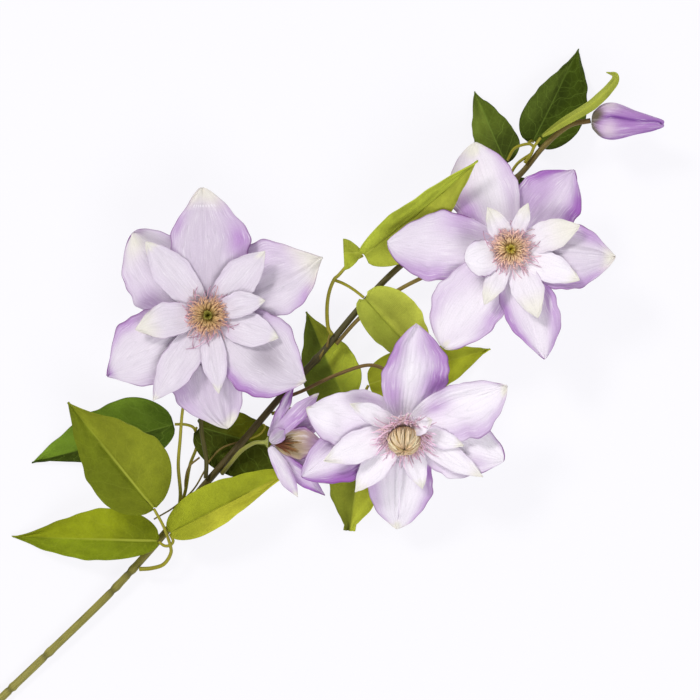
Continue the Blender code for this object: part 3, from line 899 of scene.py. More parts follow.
@dataclass(frozen=True)
class Blade:
    """A petal or leaf along a smooth centre line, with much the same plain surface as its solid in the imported
    model.

    Attributes:
        base: Where its centre line starts.
        tip: Where it ends.
        left: Its left side.
        right: Its right side.
        via: Points that the centre line passes between them.
        arch: Rise of its middle, where there are none.
        neck: Half-width at the base, as a share of the widest.
        shoulder: How slowly it widens from there.
        blunt: Least half-width, as a share.
        cup: Rise of the edges, as a share of the half-width.
        roll: Turn about the centre line.
        lobe: How far the edges reach back past the base.
        snub: How round the tip is.
    """

    base: Point
    tip: Point
    left: Edge
    right: Edge
    via: tuple[Point, ...] = ()
    arch: float = 0.0
    neck: float = 0.2
    shoulder: float = 0.6
    blunt: float = 0.02
    cup: float = 0.0
    roll: float = 0.0
    lobe: float = 0.0
    snub: float = 0.0

    def line(self) -> Array:
        """The points that the centre line passes through.

        Returns:
            One row for each.
        """
        base, tip = np.array(self.base), np.array(self.tip)
        inner = self.via or [(base + tip) / 2 + self.arch * UP]
        return np.array([base, *inner, tip])

    def half_width(self, edge: Edge, along: Array) -> Array:
        """Half-width of one side: a quarter sine wave up to the widest place and another, raised to the edge's
        point, down to the tip, which the snub rounds by adding a square root of the distance from it.

        Args:
            edge: The side's shape.
            along: Places along.

        Returns:
            Millimetres at each place.
        """
        rising = np.sin(np.pi / 2 * np.clip(along / edge.belly, 0, 1)) ** self.shoulder
        falling = np.sin(np.pi / 2 * np.clip((1 - along) / (1 - edge.belly), 0, 1)) ** edge.point
        grown = np.where(along < edge.belly, self.neck + (1 - self.neck) * rising, falling)
        grown = grown + self.snub * np.sqrt(1 - along) * along**6
        return edge.width * np.maximum(grown, self.blunt)

    def plain(self, along: Array, across: Array, ruffle: Array) -> tuple[Array, Array]:
        """The plain surface: the centre line, plus the place across times the half-width to the left, plus the
        cup's square of it upwards, less the lobes that reach back at the base.

        Args:
            along: Places along, as a column.
            across: Places across, as a row.
            ruffle: What the half-width is multiplied by.

        Returns:
            Points over the grid, and the half-widths.
        """
        line, flat = self.line(), along[:, 0]
        ahead = unit(smooth_curve(line, flat + 1e-3) - smooth_curve(line, flat - 1e-3))
        level = unit(np.cross(UP, ahead))
        normal = np.cross(ahead, level)
        turn = math.radians(self.roll)
        left = (math.cos(turn) * level + math.sin(turn) * normal)[:, None]
        up = (math.cos(turn) * normal - math.sin(turn) * level)[:, None]
        half = np.where(across > 0, self.half_width(self.left, along), self.half_width(self.right, along))
        half = half * ruffle
        back = self.lobe * np.abs(across) ** 1.5 * np.clip(1 - along / 0.3, 0, 1) ** 2
        rise = self.cup * half * across**2
        moved = left * (across * half)[..., None] + up * rise[..., None] - ahead[:, None] * back[..., None]
        return smooth_curve(line, flat)[:, None] + moved, half


@dataclass(frozen=True)
class Sheet:
    """A cloth blade: its plain surface and its relief, on a fine grid.

    Attributes:
        blade: The plain shape.
        relief: What is pressed into it.
        look: Its colours.
        thickness: Of the cloth.
        seed: Which uneven pattern.
        grid: Points from base to tip, and from edge to edge.
    """

    blade: Blade
    relief: Relief
    look: Print | LeafLook
    thickness: float
    seed: int
    grid: tuple[int, int]

    def places(self) -> tuple[Array, Array]:
        """The grid's places, which are closer at the edges.

        Returns:
            Places along, as a column, and across, as a row.
        """
        rows, columns = self.grid
        across = np.concatenate([[-1, -0.97], np.linspace(-0.94, 0.94, columns - 4), [0.97, 1]])
        return np.linspace(0, 1, rows)[:, None], across[None]

    def surface(self) -> Surface:
        """The closed sheet in its colours: the plain surface, whose outline two sine waves ruffle, moved along
        its normal by the relief, and held above the floor.

        Returns:
            The surface.
        """
        along, across = self.places()
        tint, rim = self.look.colours(along, across, self.seed)
        side = np.where(across > 0, 0.0, 2.0)
        slow = np.sin(2 * np.pi * 3.1 * along + side + self.seed)
        quick = np.sin(2 * np.pi * 6.7 * along + 2 * side)
        ruffle = 1 + self.relief.ruffle * (slow + 0.6 * quick) * ramp(along, 0.2, 0.5)
        middle, half = self.blade.plain(along, across, ruffle)
        normal = unit(np.cross(np.gradient(middle, axis=0), np.gradient(middle, axis=1)))
        middle = middle + normal * self.relief.height(along, across, half, self.seed)[..., None]
        middle[..., 2] = np.maximum(middle[..., 2], self.thickness / 2 + FLOOR_CLEARANCE)
        right = across * max(self.blade.left.width, self.blade.right.width) + 3.7 * self.seed
        ahead = along * path_length(self.blade.line())
        chart = np.stack(np.broadcast_arrays(right, ahead), axis=-1)
        return shell(middle, self.thickness, tint, rim, chart, across * half)


@dataclass(frozen=True)
class Petal:
    """A petal of a flower.

    Attributes:
        tip: Where its tip is.
        left: Its left side.
        right: Its right side.
        level: How many petals lie under its base.
        arch: Rise of its middle.
        neck: Half-width at its base, as a share of the widest.
        cup: Rise of its edges, as a share of the half-width.
        roll: Turn about its centre line.
        snub: How round its tip is.
        look: Its colours.
        relief: What is pressed into it.
    """

    tip: Point
    left: Edge
    right: Edge
    level: int
    arch: float
    neck: float = 0.2
    cup: float = 0.0
    roll: float = 0.0
    snub: float = 0.06
    look: Print = Print()
    relief: Relief = Relief()

    def blade(self, centre: Array, facing: Array, lift: float, root: float) -> Blade:
        """The blade that starts on the ring round its flower's axis, that far up the axis.

        Args:
            centre: The middle of the flower's base.
            facing: The direction that the flower faces.
            lift: How far up the axis.
            root: Radius of the ring.

        Returns:
            The blade.
        """
        reach = np.array(self.tip) - centre
        outward = unit(reach - facing * (reach @ facing))
        base = centre + outward * root + facing * lift
        return Blade(
            tuple(base), self.tip, self.left, self.right, arch=self.arch, neck=self.neck, shoulder=0.8,
            cup=self.cup, roll=self.roll, snub=self.snub,
        )


@dataclass(frozen=True)
class StamenRing:
    """A ring of threads round a flower's axis.

    Attributes:
        count: How many.
        path: Radius and height of points along each.
        radius: Of a thread.
        head: How much thicker its head is.
        colours: From base to head, as sRGB hex.
        spread: How uneven their lengths are, as a share.
        hook: How far their ends bend aside, in degrees.
        droops: Whether it stands along the flower's brush rather than its axis.
    """

    count: int
    path: tuple[tuple[float, float], ...]
    radius: float
    head: float
    colours: tuple[str, ...]
    spread: float = 0.08
    hook: float = 12.0
    droops: bool = False

    def surface(self, foot: Array, facing: Array, seed: int) -> Surface:
        """The threads: a smooth profile of radius and height, turned round the axis at even steps that are each
        a little off, whose ends bend aside with the square of the place along.

        Args:
            foot: Where the axis starts.
            facing: Its direction.
            seed: Which uneven pattern.

        Returns:
            All the threads.
        """
        rng = np.random.default_rng(seed)
        steps = np.linspace(0, 1, THREAD_STEPS)
        radius, height = smooth_curve(np.array(self.path), steps).T
        turn = (np.arange(self.count) + rng.uniform(-0.4, 0.4, self.count)) * 2 * np.pi / self.count
        bend = np.radians(self.hook) * rng.normal(0, 1, self.count)
        angle = turn[:, None] + bend[:, None] * steps**2
        longer = 1 + self.spread * rng.normal(0, 1, self.count)[:, None] * steps
        higher = 1 + 0.8 * self.spread * rng.normal(0, 1, self.count)[:, None] * steps
        east = unit(np.cross(NORTH, facing))
        north = np.cross(facing, east)
        sine, cosine = np.sin(angle)[..., None], np.cos(angle)[..., None]
        out, side = cosine * east + sine * north, cosine * north - sine * east
        paths = foot + out * (radius * longer)[..., None] + facing * (height * higher)[..., None]
        swell = 1 + (self.head - 1) * ramp(steps, 0.45, 0.7)
        swell[-1] *= 0.45
        radii = np.broadcast_to(self.radius * swell, (self.count, THREAD_STEPS))
        scale = np.array([linear(colour) for colour in self.colours])
        shade = 1 + 0.15 * rng.normal(0, 1, (self.count, 1, 1))
        return sweep(paths, radii, side, THREAD_SIDES, smooth_curve(scale, steps)[None] * shade)


@dataclass(frozen=True)
class Stalk:
    """A round stem through these points.

    Attributes:
        points: The points.
        start: Radius at the first.
        end: Radius at the last.
        colours: From the first to the last, as sRGB hex.
        flare: Radius that the end widens to.
        joints: Places along, from 0 to 1, of the moulded joints.
        knots: Places of the swellings where sprigs leave.
        groove: Depth of the long grooves, as a share of the radius.
    """

    points: tuple[Point, ...]
    start: float
    end: float
    colours: tuple[str, ...] = ("#8a8420", "#98922c")
    flare: float = 0.0
    joints: tuple[float, ...] = ()
    knots: tuple[float, ...] = ()
    groove: float = 0.04

    def surface(self) -> Surface:
        """The stem: its radius runs evenly from start to end, a joint is a narrow dark waist beside a collar,
        a knot swells it, and the last millimetres widen to the flare.

        Returns:
            The closed tube.
        """
        points = np.array(self.points)
        length = path_length(points)
        steps = np.linspace(0, 1, max(12, round(length / STEM_STEP)))
        radii = self.start + (self.end - self.start) * steps
        dark = np.zeros(len(steps))
        for place in self.joints:
            off = (steps - place) * length
            radii = radii * (1 - 0.16 * bell(off, 0.8) + 0.12 * bell(off - 2.2, 1.3))
            dark = dark + bell(off, 1.2)
        for place in self.knots:
            radii = radii * (1 + 0.3 * bell((steps - place) * length, 2.0))
        if self.flare:
            radii = radii + (self.flare - radii) * ramp(steps * length, length - 4.5, length)
        scale = np.array([linear(colour) for colour in self.colours])
        tint = smooth_curve(scale, steps) * (1 - 0.45 * dark[:, None])
        side = np.linalg.svd(points - points.mean(axis=0))[2][2]
        path = smooth_curve(points, steps)
        return sweep(path[None], radii[None], side[None, None], STEM_SIDES, tint[None], self.groove)


# ------------------------------------------------------------------------------------------------------------
# Sub-assemblies


@dataclass
class Finishes:
    """The spray's materials, made once."""

    petal: bpy.types.Material
    light_leaf: bpy.types.Material
    dark_leaf: bpy.types.Material
    stem: bpy.types.Material
    sprig: bpy.types.Material
    stamen: bpy.types.Material

    @classmethod
    def build(cls) -> "Finishes":
        """Makes all the finishes.

        Returns:
            The finishes.
        """
        return cls(
            petal=PetalCloth().build(),
            light_leaf=LeafCloth("printed_lime_leaf_cloth", "#b4ba48", 0.1, 0.55).build(),
            dark_leaf=LeafCloth("printed_green_leaf_cloth", "#7a943a", 0.32, 0.4).build(),
            stem=MouldedPlastic("brushed_polyethylene_stem", 11.0, 0.38).build(),
            sprig=MouldedPlastic("green_polyethylene_sprig", 9.0, 0.2, 0.45).build(),
            stamen=MouldedPlastic("dyed_polyethylene_stamens", 3.0, 0.16).build(),
        )


@dataclass(frozen=True)
class Flower:
    """An open flower: outer petals, an inner whorl on a small disc, stamens and a stalk.

    Attributes:
        name: Which flower.
        centre: The middle of its petals' bases.
        faces: The direction that it faces.
        brush: The direction of its stamens, which can droop a little.
        petals: The outer petals.
        inner: The inner whorl.
        rings: Its stamens.
        stalk: What carries it.
        seed: Which uneven patterns.
    """

    name: str
    centre: Point
    faces: Point
    brush: Point
    petals: tuple[Petal, ...]
    inner: tuple[Petal, ...]
    rings: tuple[StamenRing, ...]
    stalk: Stalk
    seed: int

    def build(self, finishes: Finishes) -> None:
        """Builds the flower's pieces.

        Args:
            finishes: The spray's materials.
        """
        centre, facing, brush = np.array(self.centre), unit(np.array(self.faces)), unit(np.array(self.brush))
        for number, petal in enumerate(self.petals, 1):
            node, seed = f"{self.name}_petal_{number}", self.seed + number
            blade = petal.blade(centre, facing, LAYER * petal.level, PETAL_ROOT)
            sheet = Sheet(blade, petal.relief, petal.look, PETAL_THICKNESS, seed, PETAL_GRID)
            add_piece(f"{node}_cloth", sheet.surface(), finishes.petal, node)
        layers = max(petal.level for petal in self.petals)
        foot = centre + facing * (LAYER * layers + DISC_CLEARANCE)
        whorl = f"{self.name}_inner_petals"
        for number, petal in enumerate(self.inner, 1):
            name, seed = f"{self.name}_inner_petal_cloth_{number}", self.seed + INNER_SEED + number
            blade = petal.blade(foot, facing, LAYER * (petal.level + 0.5), INNER_ROOT)
            sheet = Sheet(blade, petal.relief, petal.look, PETAL_THICKNESS, seed, INNER_GRID)
            add_piece(name, sheet.surface(), finishes.petal, whorl)
        disc = self.disc(foot, facing)
        add_piece(f"{self.name}_whorl_disc", disc, finishes.stamen, whorl)
        seat = foot + facing * (DISC_HEIGHT + GAP)
        rings = [
            ring.surface(seat, brush if ring.droops else facing, seed)
            for seed, ring in enumerate(self.rings, self.seed + STAMEN_SEED)
        ]
        name = f"{self.name}_stamen_threads"
        add_piece(name, joined(rings), finishes.stamen, f"{self.name}_stamens")
        name = f"{self.name}_flower_stalk"
        add_piece(f"{name}_skin", self.stalk.surface(), finishes.stem, name)

    def disc(self, foot: Array, facing: Array) -> Surface:
        """The small disc that the inner petals grow from: a short tube along the axis, domed at its top.

        Args:
            foot: Its lower end.
            facing: Its axis.

        Returns:
            The closed surface.
        """
        steps = np.linspace(0, 1, DISC_STEPS)
        radii = DISC_RADIUS * np.sqrt(1 - np.clip((steps - 0.55) / 0.5, 0, 1) ** 2) * 0.9
        path = foot + facing * (steps * (DISC_HEIGHT + GAP))[:, None]
        east = unit(np.cross(NORTH, facing))
        tint = np.broadcast_to(linear("#d4c08c"), (1, DISC_STEPS, 3))
        return sweep(path[None], radii[None], east[None, None], DISC_SIDES, tint)


@dataclass(frozen=True)
class HalfOpenFlower:
    """The flower that is still a cup, seen from its side: it opens along +X.

    Attributes:
        seat: Foot of its stamens.
        faces: The direction of its stamens.
        petals: Base, tip, half-width, cup and print of each.
        relief: What is pressed into them.
        rings: Its stamens.
        stalk: What carries it.
    """

    seat: Point
    faces: Point
    petals: tuple[tuple[Point, Point, float, float, Print], ...]
    relief: Relief
    rings: tuple[StamenRing, ...]
    stalk: Stalk

    def build(self, finishes: Finishes) -> None:
        """Builds the flower's pieces.

        Args:
            finishes: The spray's materials.
        """
        for number, (base, tip, width, cup, look) in enumerate(self.petals, 1):
            edge, node = Edge(width), f"half_open_petal_{number}"
            blade = Blade(base, tip, edge, edge, neck=0.9 / width, cup=cup)
            sheet = Sheet(blade, self.relief, look, PETAL_THICKNESS, CUP_SEED + number, CUP_GRID)
            add_piece(f"{node}_cloth", sheet.surface(), finishes.petal, node)
        seat, facing = np.array(self.seat), unit(np.array(self.faces))
        threads = [ring.surface(seat, facing, seed) for seed, ring in enumerate(self.rings, CUP_SEED + 30)]
        add_piece("half_open_stamen_threads", joined(threads), finishes.stamen, "half_open_stamens")
        name = "half_open_flower_stalk"
        add_piece(f"{name}_skin", self.stalk.surface(), finishes.stem, name)


@dataclass(frozen=True)
class Bud:
    """The closed bud: four pale petals rolled round each other, with dark purple seams and a green-brown foot.

    Attributes:
        place: Its foot.
        lean: Its axis.
        profile: Radius and height of its outline, from the tip to the foot.
        twist: How far the seams turn from foot to tip, in degrees.
        grid: Rings from tip to foot, and points in a ring.
    """

    place: Point
    lean: Point
    profile: tuple[tuple[float, float], ...]
    twist: float = 28.0
    grid: tuple[int, int] = (80, 72)

    def build(self, finishes: Finishes) -> None:
        """Builds the bud: rings whose radius swells between the seams and dips in a narrow groove at each.

        Args:
            finishes: The spray's materials.
        """
        rows, columns = self.grid
        outline = smooth_curve(np.array(self.profile), np.linspace(0, 1, rows))
        turn = np.linspace(0, 2 * np.pi, columns, endpoint=False)[None]
        radius, height = np.maximum(outline[:, :1], 0.15), outline[:, 1:]
        share = height / height.max()
        seam = turn + math.radians(self.twist) * share + 0.12 * np.sin(7 * share)
        phase = (seam / (np.pi / 2)) % 1
        between = np.sin(np.pi * phase)
        groove = bell(np.minimum(phase, 1 - phase), 0.06)
        swell = 1 + 0.05 * between**0.7 - 0.1 * groove + 0.02 * np.sin(9 * turn + 3 * share)
        axis = unit(np.array(self.lean))
        east = unit(np.cross(UP, axis))
        north = np.cross(axis, east)
        spoke = np.cos(turn)[..., None] * east + np.sin(turn)[..., None] * north
        height = height * (1 + 0.03 * np.sin(3 * turn + 1) * ramp(share, 0.85, 1.0))
        points = np.array(self.place) + axis * height[..., None] + spoke * (radius * swell)[..., None]
        number = np.arange(rows * columns).reshape(rows, columns)
        beside = np.roll(number, -1, axis=1)
        walls = np.stack([number[:-1], number[1:], beside[1:], beside[:-1]], axis=-1)
        bud = Surface(
            points=points.reshape(-1, 3),
            faces=walls.reshape(-1, 4),
            cut=np.stack([number[0], number[-1, ::-1]]),
            tint=self.colours(turn, share, groove, between).reshape(-1, 3),
            chart=np.stack(np.broadcast_arrays(turn * 9.0, height), axis=-1).reshape(-1, 2),
            across=np.zeros(number.size),
        )
        add_piece("bud_cloth", bud, finishes.petal, "bud")

    def colours(self, turn: Array, share: Array, groove: Array, between: Array) -> Array:
        """Its colours: purple that deepens towards the seams and the tip, dark seams, a light area near the
        foot and the foot itself.

        Args:
            turn: Angle round the axis, as a row.
            share: Place from the foot, at 0, to the tip, as a column.
            groove: How near each place is to a seam, from 0 to 1.
            between: How near it is to the middle of a petal, from 0 to 1.

        Returns:
            The colour at each place.
        """
        tint = np.broadcast_to(linear("#ae80c0"), (*groove.shape, 3))
        tint = mix(tint, linear("#8f5cab"), 0.8 * (1 - between) ** 1.5 + 0.3 * ramp(share, 0.6, 1.0))
        tint = mix(tint, linear("#6a2c88"), 0.9 * groove * ramp(share, 0.12, 0.3))
        tint = mix(tint, linear("#dcccd8"), 0.8 * bell(share - 0.25, 0.14) * (1 - groove) * between)
        foot = 1 - ramp(share + 0.05 * np.sin(4 * turn), 0.04, 0.2)
        return mix(tint, linear("#5f5838"), 0.95 * foot)


@dataclass(frozen=True)
class Foliage:
    """The leaves."""

    leaves: dict[str, tuple[Blade, LeafLook]]

    def build(self, finishes: Finishes) -> None:
        """Builds each leaf as a printed cloth sheet.

        Args:
            finishes: The spray's materials.
        """
        for seed, (name, (blade, look)) in enumerate(self.leaves.items(), LEAF_SEED):
            sheet = Sheet(blade, look.relief, look, LEAF_THICKNESS, seed, LEAF_GRID)
            finish = finishes.dark_leaf if look.dark else finishes.light_leaf
            add_piece(f"{name}_cloth", sheet.surface(), finish, name)


@dataclass(frozen=True)
class Stems:
    """The main stem and the side sprigs."""

    main: tuple[Stalk, ...]
    sprigs: dict[str, tuple[Stalk, ...]]

    def build(self, finishes: Finishes) -> None:
        """Builds the stem and the sprigs.

        Args:
            finishes: The spray's materials.
        """
        stem = joined([stalk.surface() for stalk in self.main])
        add_piece("main_stem_skin", stem, finishes.stem, "main_stem")
        for name, stalks in self.sprigs.items():
            sprig = joined([stalk.surface() for stalk in stalks])
            add_piece(f"{name}_skin", sprig, finishes.sprig, name)


@dataclass(frozen=True)
class Lamp:
    """A far soft lamp: its strength, its apparent size, how far it is turned about X and Y, and its colour."""

    name: str
    energy: float
    angle: float
    tilt: float
    turn: float
    colour: Point


@dataclass(frozen=True)
class Studio:
    """The floor, the lights and the camera.

    Attributes:
        view_width: Width of the camera's view at the height of the petals' bases.
        view_height: Height of that plane.
        distance: From the camera to it.
        sensor: Width of the camera's sensor.
        floor_side: Side of the floor, in metres.
        floor_glow: Strength of the floor's own light.
        surround: Strength of the white surround.
        lamps: A key light from the upper left and a softer one from the lower right.
    """

    view_width: float = 350.0
    view_height: float = 22.0
    distance: float = 2895.0
    sensor: float = 36.0
    floor_side: float = 12.0
    floor_glow: float = 0.89
    surround: float = 0.42
    lamps: tuple[Lamp, ...] = (
        Lamp("key", 1.5, 14.0, -28.0, -30.0, (1.0, 0.985, 0.96)),
        Lamp("fill", 1.4, 40.0, 32.0, 18.0, (1.0, 0.99, 1.0)),
    )

    def build(self) -> None:
        """Builds the studio."""
        self.add_camera()
        self.add_floor()
        self.add_lights()

    def add_camera(self) -> None:
        """Adds a camera with a long lens that looks straight down."""
        data = bpy.data.cameras.new("camera")
        data.sensor_width = self.sensor
        data.lens = self.sensor * self.distance / self.view_width
        data.clip_end = 60.0
        camera = bpy.data.objects.new("camera", data)
        camera.location = (ROW_SHIFT[0] * MM, ROW_SHIFT[1] * MM, (self.distance + self.view_height) * MM)
        bpy.context.scene.collection.objects.link(camera)
        bpy.context.scene.camera = camera

    def add_floor(self) -> None:
        """Adds a pale matt floor that glows faintly, as a light table does."""
        half = self.floor_side / 2
        corners = [(-half, -half, 0.0), (half, -half, 0.0), (half, half, 0.0), (-half, half, 0.0)]
        mesh = bpy.data.meshes.new("floor")
        mesh.from_pydata(corners, [], [(0, 1, 2, 3)])
        material, tree = new_finish("opal_acrylic_floor", 0.9, 0.2)
        shader = tree.nodes["Principled BSDF"]
        shader.inputs["Base Color"].default_value = (0.1, 0.1, 0.1, 1.0)
        shader.inputs["Emission Color"].default_value = (0.97, 0.96, 1.0, 1.0)
        shader.inputs["Emission Strength"].default_value = self.floor_glow
        mesh.materials.append(material)
        floor = bpy.data.objects.new("floor", mesh)
        bpy.context.scene.collection.objects.link(floor)

    def add_lights(self) -> None:
        """Adds the lamps and an even white surround."""
        for lamp in self.lamps:
            light = bpy.data.lights.new(lamp.name, "SUN")
            light.energy = lamp.energy
            light.angle = math.radians(lamp.angle)
            light.color = lamp.colour
            placed = bpy.data.objects.new(lamp.name, light)
            placed.rotation_euler = (math.radians(lamp.tilt), math.radians(lamp.turn), 0.0)
            bpy.context.scene.collection.objects.link(placed)
        world = bpy.data.worlds.new("surround")
        world.use_nodes = True
        ground = world.node_tree.nodes["Background"]
        ground.inputs["Color"].default_value = (0.97, 0.97, 1.0, 1.0)
        ground.inputs["Strength"].default_value = self.surround
        bpy.context.scene.world = world
        bpy.context.scene.view_settings.view_transform = "Standard"


# ------------------------------------------------------------------------------------------------------------
# The spray

UP_STAMENS = (
    StamenRing(
        30, ((0.2, 0.5), (0.8, 3.5), (1.6, 6.0), (2.2, 7.0)), 0.22, 1.3, ("#80802c", "#948e38", "#a49c48"),
    ),
    StamenRing(52, ((1.6, 0.5), (2.6, 4.0), (4.0, 6.4), (5.8, 7.2)), 0.19, 1.3, (
        "#b09a50", "#c8aa62", "#d8b67c", "#d6b080",
    )),
    StamenRing(84, ((2.2, 0.5), (4.0, 4.0), (6.0, 6.0), (8.0, 6.2)), 0.18, 1.3, (
        "#ccac78", "#d4b07e", "#dab488", "#d8ae8a",
    )),
    StamenRing(96, ((3.0, 0.5), (5.2, 3.2), (7.8, 4.8), (9.8, 4.3)), 0.17, 1.3, (
        "#dcb68e", "#deb896", "#deb49a", "#daae9c",
    )),
    StamenRing(
        60, ((3.0, 0.2), (6.5, 2.0), (9.5, 3.0), (12.0, 2.8)), 0.16, 1.3, ("#e4c6c0", "#deb8b6", "#d4a4ac"),
        0.16, 16.0,
    ),
    StamenRing(
        30, ((3.0, 0.2), (7.5, 2.2), (11.0, 3.4), (14.2, 3.0)), 0.15, 1.3, ("#e2c6c4", "#d0a4b4", "#b07a9a"),
        0.14, 16.0,
    ),
)

PALER = (
    ("#c4b440", "#cab850", "#ccbc60"), ("#dcc470", "#e6cc88", "#eccc9c", "#eac89c"),
    ("#e8c8a0", "#ecc8a4", "#eec8ac", "#e8c0a8"), ("#ecccb4", "#ecc8b8", "#eac4ba", "#e4bab6"),
    ("#ecd4d4", "#e8c8cc", "#dcb0be"), ("#ecd4d4", "#dcb4c2", "#bc86a4"),
)

PALER_STAMENS = tuple(replace(ring, colours=colours) for ring, colours in zip(UP_STAMENS, PALER))
SIDE_STAMENS = (
    # The inner barrel: the khaki of the threads outside it, darkened as painted shade inside the barrel.
    StamenRing(
        44, ((2.0, 0.5), (5.4, 4.0), (6.2, 8.0), (3.6, 11.0), (0.8, 11.4)), 0.42, 1.1,
        ("#b89c68", "#c4a876", "#c4a876"), droops=True,
    ),
    StamenRing(
        72, ((3.0, 0.3), (6.8, 3.6), (7.5, 7.6), (5.0, 11.2), (1.0, 12.2)), 0.26, 1.2,
        ("#cfae84", "#e0c69c", "#e8d2ae", "#d2b088"), 0.05, 9.0, droops=True,
    ),
    StamenRing(
        36, ((3.0, 0.3), (6.9, 3.8), (7.9, 7.4), (6.4, 10.6), (4.0, 12.4)), 0.18, 1.2,
        ("#dcc090", "#ecdab8", "#f0dcb8"), 0.1, 14.0, droops=True,
    ),
    StamenRing(
        110, ((3.2, 0.0), (7.0, 2.5), (10.5, 5.6), (13.6, 8.6)), 0.26, 1.1, ("#f2e0e8", "#f0d4e2", "#e6c0d8"),
        0.2, 9.0,
    ),
    StamenRing(
        80, ((3.0, 0.0), (7.2, 2.2), (9.6, 4.2), (11.2, 6.6)), 0.38, 1.1, ("#f4e4e2", "#f2dcdc", "#ecccd2"),
        0.15, 8.0,
    ),
)

PALE = Print(WHITE, LILAC, 0.3, 0.3, 0.3, 0.08, 0.12, 0.1)
PALE_GREY = replace(PALE, body=PEARL, blush=0.15, tip=0.08)
PALE_CREAM = replace(PALE, body=SNOW, tip=0.25)
BRIGHT = Relief(rib=0.15, pleat=0.04, wave=0.7, crumple=0.35)
RAYED = Relief(rib=0.3, pleat=0.13)

